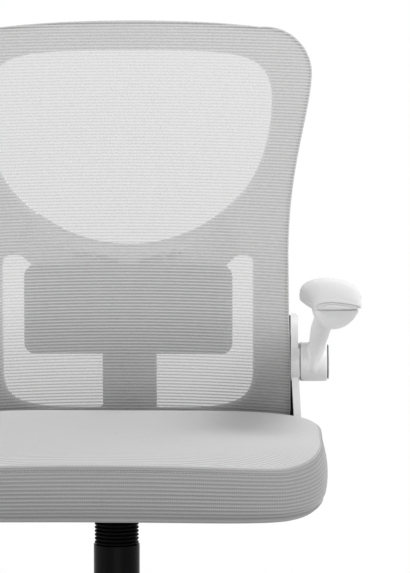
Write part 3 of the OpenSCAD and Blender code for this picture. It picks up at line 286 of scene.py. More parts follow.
def paintBase(name, color, roughness, drift, dust, specular, sheen):
    mat = bpy.data.materials.new(name)
    mat.use_nodes = True
    bsdf = mat.node_tree.nodes["Principled BSDF"]
    bsdf.inputs["Specular IOR Level"].default_value = specular
    bsdf.inputs["Sheen Weight"].default_value = sheen
    color = color if isinstance(color, tuple) else (color, color, color)
    tone = addNode(mat.node_tree, "ShaderNodeGroup", {"Color": (*color, 1), "Roughness": roughness,
                                                      "Drift": drift, "Dust": dust}, node_tree=toneGroup)
    return mat, mat.node_tree, bsdf, tone.outputs


def footShade(tree):
    return addNode(tree, "ShaderNodeGroup", node_tree=footGroup).outputs["Value"]


def bumped(tree, bsdf, height, strength, depth):
    bump = addNode(tree, "ShaderNodeBump", {"Height": height, "Strength": strength, "Distance": depth})
    tree.links.new(bump.outputs["Normal"], bsdf.inputs["Normal"])


def plainMaterial(name, color, roughness, metallic=0.0, drift=0.06, dust=0.03, grainScale=900, grain=0.15,
                  sheen=0.0, specular=0.5, shaded=False):
    mat, t, bsdf, tone = paintBase(name, color, roughness, drift, dust, specular, sheen)
    bsdf.inputs["Metallic"].default_value = metallic
    final = toned(t, tone["Color"], footShade(t)) if shaded else tone["Color"]
    t.links.new(final, bsdf.inputs["Base Color"])
    t.links.new(tone["Roughness"], bsdf.inputs["Roughness"])
    if grain:
        g = addNode(t, "ShaderNodeGroup", {"Scale": grainScale}, node_tree=grainGroup)
        bumped(t, bsdf, g.outputs["Height"], grain, grainLook["depth"])
    return mat


def knitMaterial(name, color, valleyShade, pitch, fuzz, bumpDepth, sheen, holes=None, narrow=1.5,
                 shaded=False):
    # ribbed knit cloth; holes gives (least cover in a valley, cover on a rib) for an open mesh
    mat, t, bsdf, tone = paintBase(name, color, knitLook["roughness"], knitLook["drift"], 0.0,
                                   knitLook["specular"], sheen)
    bsdf.inputs["Roughness"].default_value = knitLook["roughness"]
    weave = addNode(t, "ShaderNodeGroup", {"Pitch": pitch, "Fuzz": fuzz, "Narrow": narrow},
                    node_tree=weaveGroup).outputs
    valley = mathNode(t, "MULTIPLY", weave["Valley"], valleyShade)
    shade = mathNode(t, "SUBTRACT", mathNode(t, "SUBTRACT", 1.0, valley), weave["Shade"])
    if shaded:
        shade = mathNode(t, "MULTIPLY", shade, footShade(t))
    t.links.new(toned(t, tone["Color"], shade), bsdf.inputs["Base Color"])
    bumped(t, bsdf, weave["Height"], knitLook["bump"], bumpDepth)
    if holes:
        loops = mathNode(t, "MULTIPLY", weave["Loop"], 1 - knitLook["valleyGap"])
        gaps = mathNode(t, "MULTIPLY_ADD", weave["Valley"], knitLook["valleyGap"], loops)
        cover = mathNode(t, "SUBTRACT", holes[1], mathNode(t, "MULTIPLY", gaps, holes[1] - holes[0]))
        t.links.new(cover, bsdf.inputs["Alpha"])
    return mat


# the back's mesh and hem carry the painted shade towards the back's foot
backKnit = {"pitch": 0.0013, "fuzz": 0.2, "bumpDepth": 0.0002, "sheen": 0.2, "shaded": True}
seatCloth = {"pitch": 0.0022, "fuzz": 0.3, "bumpDepth": 0.0003, "sheen": 0.3}
knitLooks = {
    "meshKnit": {"color": 0.755, "valleyShade": 0.10, "holes": (0.50, 0.97), **backKnit},
    "hemKnit": {"color": 0.74, "valleyShade": 0.10, **backKnit},
    # one knit in two tones: seatKnit's lighter and bandKnit's darker colour are painted light and shade, for
    # the top taking more light than the front band
    "seatKnit": {"color": 0.92, "valleyShade": 0.36, "narrow": 3.5, **seatCloth},
    "bandKnit": {"color": 0.44, "valleyShade": 0.22, "narrow": 2.0, **seatCloth},
}
fineGrain = {"grainScale": 1400, "grain": 0.06}
plainLooks = {
    "whiteNylon": {"color": 0.86, "roughness": 0.42, **fineGrain},
    # white nylon with the painted shade towards the back's foot, for the back's frame
    "frameNylon": {"color": 0.88, "roughness": 0.42, "shaded": True, **fineGrain},
    "padSkin": {"color": 0.62, "roughness": 0.62, "grainScale": 700, "grain": 0.35, "sheen": 0.15,
                "dust": 0.0},
    "lumbarPlastic": {"color": (0.4, 0.405, 0.41), "roughness": 0.5, "grainScale": 1100, "grain": 0.12},
    "blackGloss": {"color": 0.002, "roughness": 0.28, "grain": 0, "drift": 0.2, "dust": 0.001,
                   "specular": 0.06},
    "bootRubber": {"color": 0.003, "roughness": 0.6, "grainScale": 1500, "grain": 0.1, "dust": 0.002,
                   "specular": 0.06},
    "hoodPlastic": {"color": (0.035, 0.035, 0.038), "roughness": 0.5, "grain": 0.25, "dust": 0.06},
    "wheelNylon": {"color": (0.07, 0.072, 0.076), "roughness": 0.45, "grainScale": 1200, "grain": 0.12,
                   "dust": 0.08},
    "treadRubber": {"color": (0.2, 0.205, 0.21), "roughness": 0.72, "grainScale": 600, "grain": 0.3,
                    "dust": 0.1, "drift": 0.12},
    "panPlastic": {"color": (0.04, 0.04, 0.042), "roughness": 0.6, "grainScale": 700, "grain": 0.3,
                   "dust": 0.04},
    "powderCoat": {"color": (0.028, 0.028, 0.03), "roughness": 0.46, "grainScale": 1100, "grain": 0.4,
                   "dust": 0.05},
    "zincSteel": {"color": (0.62, 0.62, 0.61), "roughness": 0.32, "metallic": 1.0, "grainScale": 1600,
                  "grain": 0.05, "dust": 0.02},
    "springSteel": {"color": (0.09, 0.09, 0.095), "roughness": 0.35, "metallic": 0.8, "grainScale": 1600,
                    "grain": 0.06},
    "hubCap": {"color": (0.8, 0.81, 0.82), "roughness": 0.38, **fineGrain},
    "seamThread": {"color": (0.5, 0.5, 0.505), "roughness": 0.7, "grainScale": 2500, "grain": 0.5,
                   "sheen": 0.2},
}
paints = {name: plainMaterial(name, **look) for name, look in plainLooks.items()}
paints.update({name: knitMaterial(name, **look) for name, look in knitLooks.items()})
print("stage: materials")

# lines and meshes


def bezier(p, t):
    p = np.asarray(p, float)
    t = np.asarray(t, float).reshape(-1, *([1] * (p.ndim - 1)))
    return (1 - t) ** 3 * p[0] + 3 * t * (1 - t) ** 2 * p[1] + 3 * t * t * (1 - t) * p[2] + t ** 3 * p[3]


def curvePoints(p, n):
    return bezier(p, np.linspace(0, 1, n + 1))


def circleTurns(n):
    return np.linspace(0, 2 * math.pi, n, endpoint=False)


def arcPoints(cx, cz, r, a, b, n):
    turn = np.radians(np.linspace(a, b, n + 1))
    return np.stack([cx + r * np.cos(turn), cz + r * np.sin(turn)], 1)


def rounded(value, power):
    # keeps the sign, for the sections between a circle and a square
    return np.sign(value) * np.abs(value) ** power


def mirrored(half):
    # the half line and its mirror image as one closed line, without doubled points
    half = np.asarray(half)
    line = np.concatenate([half, half[::-1] * [-1, 1]])
    return line[np.linalg.norm(line - np.roll(line, 1, 0), axis=1) > 1e-5]


def resample(line, count):
    # a closed line with evenly spaced points
    line = np.asarray(line, float)
    line = np.concatenate([line, line[:1]])
    step = np.concatenate([[0], np.cumsum(np.linalg.norm(np.diff(line, axis=0), axis=1))])
    at = np.linspace(0, step[-1], count + 1)[:-1]
    return np.stack([np.interp(at, step, line[:, i]) for i in range(line.shape[1])], 1)


def inset(line, d):
    # moves a closed line inwards, whichever way it runs
    ahead = np.roll(line, -1, 0) - np.roll(line, 1, 0)
    ahead /= np.linalg.norm(ahead, axis=1)[:, None]
    side = np.stack([ahead[:, 1], -ahead[:, 0]], 1)
    area = np.sum(line[:, 0] * np.roll(line[:, 1], -1) - np.roll(line[:, 0], -1) * line[:, 1])
    return line + side * d * (-1 if area > 0 else 1)


def smoothFaces(mesh):
    mesh.polygons.foreach_set("use_smooth", [True] * len(mesh.polygons))


def addObject(name, mesh, paint=None, smooth=True):
    obj = bpy.data.objects.new(name, mesh)
    scene.collection.objects.link(obj)
    if paint:
        mesh.materials.append(paints[paint])
    if smooth:
        smoothFaces(mesh)
    return obj


def meshFrom(name, verts, faces, paint=None):
    mesh = bpy.data.meshes.new(name)
    mesh.from_pydata([tuple(v) for v in verts], [], faces)
    mesh.update()
    return addObject(name, mesh, paint)


def lineObject(name, line, closed=True):
    n = len(line)
    mesh = bpy.data.meshes.new(name)
    mesh.from_pydata([tuple(p) for p in line], [(i, (i + 1) % n) for i in range(n if closed else n - 1)], [])
    return addObject(name, mesh, smooth=False)


def gridFaces(rows, cols, around=False, closed=False):
    # faces between the rows of a grid; around joins the last column to the first, closed the last row
    faces = []
    for i in range(rows if closed else rows - 1):
        here, above = i * cols, (i + 1) % rows * cols
        for j in range(cols if around else cols - 1):
            k = (j + 1) % cols
            faces.append((here + j, here + k, above + k, above + j))
    return faces


def fixNormals(obj):
    bm = bmesh.new()
    bm.from_mesh(obj.data)
    bmesh.ops.remove_doubles(bm, verts=bm.verts, dist=1e-6)
    bmesh.ops.recalc_face_normals(bm, faces=bm.faces)
    bm.to_mesh(obj.data)
    bm.free()
    obj.data.update()


def loftMesh(name, rings, paint=None):
    # closed skin over rings of points
    rings = np.asarray(rings, float)
    m, n = rings.shape[:2]
    faces = gridFaces(m, n, around=True)
    faces += [tuple(range(n))[::-1], tuple(range((m - 1) * n, m * n))]
    obj = meshFrom(name, rings.reshape(-1, 3), faces, paint)
    fixNormals(obj)
    return obj


def applied(obj):
    # bakes the modifiers into the mesh
    graph = bpy.context.evaluated_depsgraph_get()
    graph.update()
    done = bpy.data.meshes.new_from_object(obj.evaluated_get(graph))
    obj.modifiers.clear()
    old = obj.data
    obj.data = done
    done.name = obj.name
    if old.users == 0:
        bpy.data.meshes.remove(old)


def remeshed(obj, voxel, smoothing):
    mod = obj.modifiers.new("voxels", "REMESH")
    mod.mode = "VOXEL"
    mod.voxel_size = voxel
    mod.use_smooth_shade = True
    if smoothing:
        soft = obj.modifiers.new("soften", "SMOOTH")
        soft.factor = 0.5
        soft.iterations = smoothing
    applied(obj)


def joined(name, parts, paint=None):
    bm = bmesh.new()
    for p in parts:
        bm.from_mesh(p.data)
    mesh = bpy.data.meshes.new(name)
    bm.to_mesh(mesh)
    bm.free()
    for p in parts:
        bpy.data.objects.remove(p)
    return addObject(name, mesh, paint)


def plate(name, lines, y0, y1, bevel):
    # a flat plate with holes, drawn in X and Z and raised along Y, with rounded edges
    data = bpy.data.curves.new(name, "CURVE")
    data.dimensions = "2D"
    data.fill_mode = "BOTH"
    data.extrude = (y1 - y0) / 2 - bevel
    data.bevel_depth = bevel
    data.bevel_resolution = 3
    data.offset = -bevel
    for line in lines:
        s = data.splines.new("POLY")
        s.points.add(len(line) - 1)
        for i, p in enumerate(line):
            s.points[i].co = (p[0], p[1], 0, 1)
        s.use_cyclic_u = True
    drawn = bpy.data.objects.new(name, data)
    scene.collection.objects.link(drawn)
    bpy.context.view_layer.update()
    graph = bpy.context.evaluated_depsgraph_get()
    mesh = bpy.data.meshes.new_from_object(drawn.evaluated_get(graph))
    bpy.data.objects.remove(drawn)
    obj = addObject(name, mesh)
    co = points(obj)
    setPoints(obj, np.stack([co[:, 0], (y0 + y1) / 2 - co[:, 2], co[:, 1]], 1))
    fixNormals(obj)
    return obj


def points(obj):
    co = np.empty(len(obj.data.vertices) * 3)
    obj.data.vertices.foreach_get("co", co)
    return co.reshape(-1, 3)


def setPoints(obj, co):
    obj.data.vertices.foreach_set("co", np.ascontiguousarray(co, float).ravel())
    obj.data.update()


def flipSide(obj):
    # the left one is the right one's mirror image
    setPoints(obj, points(obj) * [-1, 1, 1])
    fixNormals(obj)


def setAttribute(obj, name, values):
    a = obj.data.attributes.new(name, "FLOAT", "POINT")
    a.data.foreach_set("value", np.asarray(values, float))


def paintFaces(obj, paint, chosen):
    # a second finish for the chosen faces
    obj.data.materials.append(paints[paint])
    obj.data.polygons.foreach_set("material_index", np.asarray(chosen, np.int32))


# geometry trees for what repeats or follows a line
def finishTree(g, given, result, geometry):
    real = addNode(g, "GeometryNodeRealizeInstances", {0: geometry})
    bare = {"Geometry": real.outputs[0], "Material": given["Material"]}
    paint = addNode(g, "GeometryNodeSetMaterial", bare)
    g.links.new(paint.outputs[0], result["Geometry"])
    return g


def runTree(obj, tree, paint, values):
    mod = obj.modifiers.new(tree.name, "NODES")
    mod.node_group = tree
    keys = {s.name: s.identifier for s in tree.interface.items_tree if s.in_out == "INPUT"}
    for label, value in {**values, "Material": paints[paint]}.items():
        mod[keys[label]] = value
    applied(obj)


def makeRibTree():
    # raises ribs along the normal, from the phase and the mask that each point carries
    inputs = {"Geometry": None, "Depth": 0.0008, "Narrow": 1.5, "Material": None}
    g, given, result = newTree("ribCloth", "GeometryNodeTree", inputs, ["Geometry"])
    phase, mask = (addNode(g, "GeometryNodeInputNamedAttribute", {"Name": label}, data_type="FLOAT")
                   for label in ("ribPhase", "ribMask"))
    wave = mathNode(g, "MULTIPLY_ADD", ridgeNode(g, phase.outputs["Attribute"], given["Narrow"]), 2.0, -1.0)
    height = mathNode(g, "MULTIPLY", mathNode(g, "MULTIPLY", wave, given["Depth"]), mask.outputs["Attribute"])
    normal = g.nodes.new("GeometryNodeInputNormal").outputs[0]
    lift = addNode(g, "ShaderNodeVectorMath", {0: normal, "Scale": height}, operation="SCALE")
    move = addNode(g, "GeometryNodeSetPosition", {"Geometry": given["Geometry"], "Offset": lift.outputs[0]})
    return finishTree(g, given, result, move.outputs[0])


def makeStitchTree():
    # lays short rounded stitches along a line
    inputs = {"Geometry": None, "Spacing": 0.0034, "Length": 0.0026, "Thread": 0.00045, "Material": None}
    g, given, result = newTree("stitchRow", "GeometryNodeTree", inputs, ["Geometry"])
    curve = addNode(g, "GeometryNodeMeshToCurve", {0: given["Geometry"]})
    spread = addNode(g, "GeometryNodeCurveToPoints", {"Curve": curve.outputs[0], "Length": given["Spacing"]},
                     mode="LENGTH").outputs
    ball = addNode(g, "GeometryNodeMeshUVSphere", {"Segments": 6, "Rings": 4, "Radius": 1.0})
    smooth = addNode(g, "GeometryNodeSetShadeSmooth", {0: ball.outputs["Mesh"]})
    half = mathNode(g, "MULTIPLY", given["Length"], 0.5)
    size = addNode(g, "ShaderNodeCombineXYZ", {"X": given["Thread"], "Y": given["Thread"], "Z": half})
    stitch = addNode(g, "GeometryNodeTransform", {"Geometry": smooth.outputs[0], "Scale": size.outputs[0]})
    laid = {"Points": spread["Points"], "Rotation": spread["Rotation"], "Instance": stitch.outputs[0]}
    lay = addNode(g, "GeometryNodeInstanceOnPoints", laid)
    return finishTree(g, given, result, lay.outputs[0])


def makeWireTree():
    # sweeps a round wire along a line
    inputs = {"Geometry": None, "Radius": 0.0025, "Sides": 12, "Material": None}
    g, given, result = newTree("roundWire", "GeometryNodeTree", inputs, ["Geometry"])
    curve = addNode(g, "GeometryNodeMeshToCurve", {0: given["Geometry"]})
    size = {"Radius": given["Radius"], "Resolution": given["Sides"]}
    ring = addNode(g, "GeometryNodeCurvePrimitiveCircle", size)
    sweep = addNode(g, "GeometryNodeCurveToMesh", {"Curve": curve.outputs[0], "Fill Caps": True,
                                                   "Profile Curve": ring.outputs["Curve"]})
    smooth = addNode(g, "GeometryNodeSetShadeSmooth", {0: sweep.outputs[0]})
    return finishTree(g, given, result, smooth.outputs[0])


ribTree, stitchTree, wireTree = makeRibTree(), makeStitchTree(), makeWireTree()

# the back: frame, mesh, hem and lumbar pad
back = {"top": 0.995, "bottom": 0.460, "shoulder": 0.23114, "waist": 0.20187, "wrap": 0.76,
        "sweep": (0.241, 0.206, 0.221, 0.298), "cornerRound": 0.060, "footRound": 0.045, "topFall": 0.009,
        "rimDepth": 0.018, "rimOff": 0.0015, "rimIn": 0.0012, "rimRound": 0.0066, "linePoints": 420,
        "spineHalf": 0.035, "spineOff": 0.015, "spineDepth": 0.017, "spineFrontDepth": 0.0132,
        "spineRearOff": 0.0100, "ribPitch": 0.0040, "ribArch": 0.006, "ribDepth": 0.00022,
        "voxel": 0.0026}
back["height"] = back["top"] - back["bottom"]
back["windowX"] = back["shoulder"] - 0.050
back["windowLow"] = back["bottom"] + 0.469 * back["height"]
back["windowHigh"] = back["top"] - 0.038
back["lowWindowX"] = back["waist"] - 0.044
back["lowWindowTop"] = back["bottom"] + 0.443 * back["height"]
back["lowWindowSill"] = back["bottom"] + 0.038
arcSlot = {"drop": 0.016, "radius": 0.308, "halfTurn": 12.7, "halfWide": 0.0022}
guideHole = {"halfWide": 0.0115, "low": 0.583, "high": 0.692}
rail = {"inner": 0.025, "outer": 0.030, "low": 0.47, "high": 0.69, "sunk": 0.002, "raised": 0.0015}


def backY(z):
    # the back's sweep as seen from the side
    t = (np.asarray(z, float) - back["bottom"]) / back["height"]
    return bezier(back["sweep"], t.ravel()).reshape(t.shape)


def wrapY(x, r=back["wrap"]):
    # how far a bend of radius r comes forward at x
    return r - np.sqrt(r * r - np.asarray(x) ** 2)


def windowPoint(x, z):
    return (x * back["windowX"], back["windowLow"] + z * (back["windowHigh"] - back["windowLow"]))


def windowCurve(places, n):
    return curvePoints([windowPoint(x, z) for x, z in places], n)


def lowPoint(x, z):
    return (back["spineHalf"] + x * (back["lowWindowX"] - back["spineHalf"]),
            back["lowWindowSill"] + z * (back["lowWindowTop"] - back["lowWindowSill"]))


def backOutline():
    s, w, top, low, h = back["shoulder"], back["waist"], back["top"], back["bottom"], back["height"]
    r, foot, fall = back["cornerRound"], back["footRound"], back["topFall"]
    return np.concatenate([
        curvePoints([(0, top), (0.35 * s, top), (0.55 * s, top - fall / 2), (0.71 * s, top - fall)], 24),
        arcPoints(s - r, top - r - fall, r, 97, 0, 28),
        curvePoints([(s, top - r - fall), (0.987 * s, top - 0.234 * h), (w, top - 0.346 * h),
                     (w, top - 0.551 * h)], 30),
        [(w + 0.001, top - 0.70 * h), (w + 0.003, top - 0.802 * h)],
        arcPoints(w + 0.003 - foot, low + foot, foot, 0, -90, 16)])


def upperWindowHalf():
    return np.concatenate([windowCurve([(0, 1), (0.33, 1), (0.6, 1), (0.77, 0.97)], 10),
                           windowCurve([(0.77, 0.97), (0.94, 0.94), (1, 0.86), (1, 0.75)], 12),
                           windowCurve([(1, 0.75), (1, 0.565), (0.93, 0.36), (0.76, 0.24)], 16)])


def sillHalf():
    return windowCurve([(0.76, 0.24), (0.58, 0.105), (0.33, 0), (0, 0)], 18)


def lowWindowTopLine():
    return curvePoints([lowPoint(0, 0.44), lowPoint(0, 0.64), lowPoint(0.36, 0.71), lowPoint(0.84, 1)], 18)


def lowWindowOuterLine():
    # a small round above and a long corner below
    x, low, top, r = back["lowWindowX"], back["lowWindowSill"], back["lowWindowTop"], 0.006
    corner = [(x, low + 0.054), (x, low + 0.018), (x - 0.020, low + 0.009), (x - 0.070, low + 0.005)]
    return np.concatenate([[lowPoint(0.88, 1)], arcPoints(x - r, top - r, r, 90, 0, 5),
                           curvePoints(corner, 14), [(0, low + 0.004)]])


def yokeLine(sill):
    # the yoke between the windows, with the spine below it
    wide, half, low = back["waist"] - 0.012, back["spineHalf"], back["bottom"] + 0.002
    side = [(wide, windowPoint(0, 0.36)[1]), (wide, back["lowWindowTop"] - 0.004)]
    return np.concatenate([sill[::-1], side, lowWindowTopLine()[::-1], [(half, 0.53), (half, low), (0, low)]])


def arcSlotLine():
    r, half, turn = arcSlot["radius"], arcSlot["halfWide"], arcSlot["halfTurn"]
    z = back["windowLow"] - arcSlot["drop"] + r
    return np.concatenate([arcPoints(0, z, r + half, -90 - turn, -90 + turn, 24),
                           arcPoints(0, z, r - half, -90 + turn, -90 - turn, 24)])


def rectangle(x0, x1, z0, z1):
    return np.array([(x0, z0), (x1, z0), (x1, z1), (x0, z1)])


def makeBackFrame():
    n, off, depth = back["linePoints"], back["spineOff"], back["spineDepth"]
    outer = inset(resample(mirrored(backOutline()), n), back["rimIn"])
    sill = sillHalf()
    near = sill[sill[:, 0] > 0.6 * back["windowX"]]
    inner = resample(mirrored(np.concatenate([upperWindowHalf(), near, lowWindowOuterLine()])), n)
    rim = back["rimOff"]
    ring = plate("frameRing", [outer, inner], rim, rim + back["rimDepth"], back["rimRound"])
    yoke, slot = resample(mirrored(yokeLine(sill)), n), arcSlotLine()
    guide = rectangle(-guideHole["halfWide"], guideHole["halfWide"], guideHole["low"], guideHole["high"])
    front = plate("yokeFront", [yoke, slot, guide], off, off + back["spineFrontDepth"], 0.0016)
    rear = plate("yokeRear", [yoke, slot], off + back["spineRearOff"], off + depth, 0.003)
    # two raised rails down the spine's rear
    rails = [plate("rail", [rectangle(s * rail["inner"], s * rail["outer"], rail["low"], rail["high"])],
                   off + depth - rail["sunk"], off + depth + rail["raised"], 0.0008) for s in (-1, 1)]
    obj = joined("backFrame", [ring, front, rear, *rails])
    remeshed(obj, back["voxel"], 3)
    co = points(obj)
    co[:, 1] += backY(co[:, 2]) - wrapY(co[:, 0])
    setPoints(obj, co)
    obj.data.materials.append(paints["frameNylon"])
    smoothFaces(obj.data)
    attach(obj, "seat")
    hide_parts("back_frame")


def ribPhaseAt(x, z):
    # the ribs rise a little towards the middle of the back
    share = 1 - np.minimum(np.abs(x) / back["shoulder"], 1) ** 2
    return (z - back["ribArch"] * share - back["bottom"]) / back["ribPitch"]


cloth = {"inset": 0.0002, "lift": 0.0003, "columns": 49, "rowsPerRib": 8, "calmEdge": 0.006,
         "leastRib": 0.3, "ribNarrow": 1.5}
# each pair gives how far inside the outline and how far behind the back's face the hem runs
hemProfile = [(0.0010, 0.0004), (0.0002, 0.0006), (-0.0004, 0.0014), (-0.0008, 0.0026), (-0.0008, 0.0044),
              (-0.0006, 0.0150), (0.0004, 0.0170), (0.0016, 0.0186), (0.0040, 0.0192), (0.0060, 0.0186),
              (0.0022, 0.0166), (0.0012, 0.0148), (0.0010, 0.0040), (0.0012, 0.0020)]


def makeBackMesh():
    outline = inset(resample(mirrored(backOutline()), 900), cloth["inset"])
    right = outline[outline[:, 0] >= 0]
    right = right[np.argsort(right[:, 1])]
    low, high = right[0, 1] + 1e-4, right[-1, 1] - 1e-4
    z = np.linspace(low, high, int(back["height"] / back["ribPitch"] * cloth["rowsPerRib"]))
    u = np.linspace(-1, 1, cloth["columns"])
    half = np.interp(z, right[:, 1], right[:, 0])[:, None]
    x = half * u
    height = np.repeat(z[:, None], len(u), 1)
    y = backY(height) - wrapY(x) + cloth["lift"]
    rim = (1 - np.abs(u)) * half / cloth["calmEdge"]
    obj = meshFrom("backMesh", np.stack([x, y, height], 2).reshape(-1, 3), gridFaces(len(z), len(u)))
    setAttribute(obj, "ribPhase", ribPhaseAt(x, height).ravel())
    setAttribute(obj, "ribMask", np.clip(rim, cloth["leastRib"], 1).ravel())
    runTree(obj, ribTree, "meshKnit", {"Depth": back["ribDepth"], "Narrow": cloth["ribNarrow"]})
    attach(obj, "seat")
    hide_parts("back_mesh")
    hem = makeHem()


def makeHem():
    # the mesh turned round the frame's edge, tucked in behind it
    base = resample(mirrored(backOutline()), 1400)
    rings = []
    for side, deep in hemProfile:
        x, z = inset(base, side).T
        y = backY(np.clip(z, back["bottom"], back["top"])) - wrapY(x) + deep
        rings.append(np.stack([x, y, z], 1))
    rings = np.transpose(np.array(rings), (1, 0, 2))
    faces = gridFaces(*rings.shape[:2], around=True, closed=True)
    obj = meshFrom("backHem", rings.reshape(-1, 3), faces, "hemKnit")
    fixNormals(obj)
    co = points(obj)
    setAttribute(obj, "ribPhase", ribPhaseAt(co[:, 0], co[:, 2]))
    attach(obj, "seat")
    return obj


lumbar = {"z": 0.628, "y": 0.2335, "w": 0.264, "h": 0.114, "t": 0.004, "corner": 0.015, "radius": 0.771,
          "edge": 0.0012, "slot": 0.0016, "loops": 3, "step": 0.0145, "core": 0.045, "marginX": 0.012,
          "marginZ": 0.013, "voxel": 0.0011}
lumbarBlock = {"halfWide": 0.0098, "low": 0.6105, "high": 0.6455, "front": 0.002, "rear": 0.0125}


def roundRect(halfX, halfY, r, n=8):
    corners = enumerate(((1, 1), (-1, 1), (-1, -1), (1, -1)))
    return np.concatenate([arcPoints(i * (halfX - r), j * (halfY - r), r, 90 * k, 90 * k + 90, n)
                           for k, (i, j) in corners])


def slotShape(i):
    # one C-shaped slot of the right half: up its outer side, then back down its inner side
    a, s = lumbar["slot"] / 2, lumbar["core"]
    w = lumbar["w"] / 2 - lumbar["marginX"] - lumbar["step"] * i
    h = lumbar["h"] / 2 - lumbar["marginZ"] - lumbar["step"] * i
    r = max(lumbar["corner"] - lumbar["step"] * i / 3, lumbar["slot"] + 0.001)
    q = r - a - 0.001
    outerSide = [[(s, -h - a)], arcPoints(w + a - r, -h - a + r, r, 270, 360, 8),
                 arcPoints(w + a - r, h + a - r, r, 0, 90, 8), [(s, h + a)],
                 arcPoints(s, h, a, 90, 270, 6)[1:-1]]
    innerSide = [[(s, h - a)], arcPoints(w - a - q, h - a - q, q, 90, 0, 6),
                 arcPoints(w - a - q, -h + a + q, q, 0, -90, 6), [(s, -h + a)],
                 arcPoints(s, -h, a, 90, 270, 6)[1:-1]]
    return np.concatenate(outerSide + innerSide)


def makeLumbarPad():
    lines = [resample(roundRect(lumbar["w"] / 2, lumbar["h"] / 2, lumbar["corner"]), 260)]
    for i in range(lumbar["loops"]):
        s = slotShape(i)
        lines += [s, s[::-1] * [-1, 1]]
    pad = plate("padPlate", [line + [0, lumbar["z"]] for line in lines], 0, lumbar["t"], lumbar["edge"])
    remeshed(pad, lumbar["voxel"], 2)
    co = points(pad)
    co[:, 1] += lumbar["y"] - wrapY(co[:, 0], lumbar["radius"])
    setPoints(pad, co)
    # the block that slides in the spine's guide
    b = lumbarBlock
    block = plate("padGuide", [rectangle(-b["halfWide"], b["halfWide"], b["low"], b["high"])],
                  lumbar["y"] + b["front"], lumbar["y"] + b["rear"], 0.001)
    obj = joined("lumbarPad", [pad, block], "lumbarPlastic")
    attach(obj, "lumbar")
    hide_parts("lumbar_pad")


makeBackFrame()
makeBackMesh()
makeLumbarPad()
print("stage: back")

# the seat cushion
seat = {"w": 0.496, "d": 0.474, "front": 0.245, "z": 0.4268, "band": 0.0672, "crown": 0.0068, "rise": 0.0044,
        "hollowIn": 0.025, "hollowTop": 0.452, "ribPitch": 0.00465, "ribDepth": 0.00038, "ribNarrow": 2.0,
        "bandRows": 84, "topRows": 60, "seamRow": 87, "columns": 420}
seat["mid"] = seat["d"] / 2 - seat["front"]
seat["seam"] = seat["z"] + seat["band"]
# the seam's groove as pairs of how far inside the outline and how far above the seam
groove = [(0.0064, -0.0003), (0.0082, -0.0004), (0.0080, 0.0008), (0.0088, 0.0019)]
seamFall = {"from": -0.09, "over": 0.13, "front": 0.0010, "corner": 0.0085, "cornerX": 0.2, "power": 2.4}
# the band has a round lower edge, is widest just below its middle and is drawn in at the seam
bandForm = {"lowIn": 0.0105, "lowShare": 0.26, "lowPower": 2.1, "highIn": 0.0052, "highFrom": 0.52,
            "highPower": 1.8, "ribsFrom": 0.06, "ribsTo": 0.84, "faintRib": 0.1, "calmX": 0.185,
            "calmOver": 0.05, "calmShare": 0.75}
topForm = {"rimShare": 0.34, "rimPower": 2.4, "sagShare": 0.2, "rollFrom": 0.72, "roll": 0.030, "dip": 0.004,
           "dipX": 0.13, "dipY": 0.14, "dipMid": 0.03, "ribsFrom": 0.62, "ribEndX": 0.235, "ribEndOver": 0.05}
seatPuff = {"voxel": 0.006, "cap": 0.0014, "reach": 0.02, "stillRows": 12, "seamRows": 4.0, "evenings": 8}
# row of the seat, then how far outwards and upwards of it the stitches lie
stitchRows = {"seamStitch": (88, 0.0003, 0.0003), "bandStitch": (81, 0.0006, 0)}
stitch = {"Spacing": 0.0036, "Length": 0.0027, "Thread": 0.00042}
puff = {"pressure": 3.0, "quality": 5, "stiffness": 18, "bending": 0.6, "frames": 14}


def seatOutline(insetBy, count):
    turn = circleTurns(2400)
    x = (seat["w"] / 2 - insetBy) * rounded(np.cos(turn), 0.52)
    y = seat["mid"] + (seat["d"] / 2 - insetBy) * rounded(np.sin(turn), 0.5)
    return resample(np.stack([x, y], 1), count)


def seatSlope(y):
    return seat["rise"] * (y - seat["mid"]) / (seat["d"] / 2)


def seamSag(o):
    # the seam lies lower along the front, most at its corners
    front = np.clip((seamFall["from"] - o[:, 1]) / seamFall["over"], 0, 1)
    corner = np.minimum(np.abs(o[:, 0]) / seamFall["cornerX"], 1) ** seamFall["power"]
    return -(seamFall["front"] + seamFall["corner"] * corner) * front * front * (3 - 2 * front)


def seatRows():
    # rows of how far inside the outline, height, share of the slope and share of the band's height
    z0, b = seat["z"], bandForm
    rows = [(seat["hollowIn"], seat["hollowTop"], -1, 0), (seat["hollowIn"], z0 + 0.004, 0, 0),
            (0.022, z0 + 0.0005, 0, 0), (0.015, z0, 0, 0)]
    for t in np.linspace(0, 1, seat["bandRows"])[1:]:
        low = b["lowIn"] * (1 - min(t / b["lowShare"], 1)) ** b["lowPower"]
        high = b["highIn"] * max((t - b["highFrom"]) / (1 - b["highFrom"]), 0) ** b["highPower"]
        rows.append((low + high, z0 + seat["band"] * t * 0.99, t, t))
    return rows + [(inwards, seat["seam"] + up, 1, 0) for inwards, up in groove]


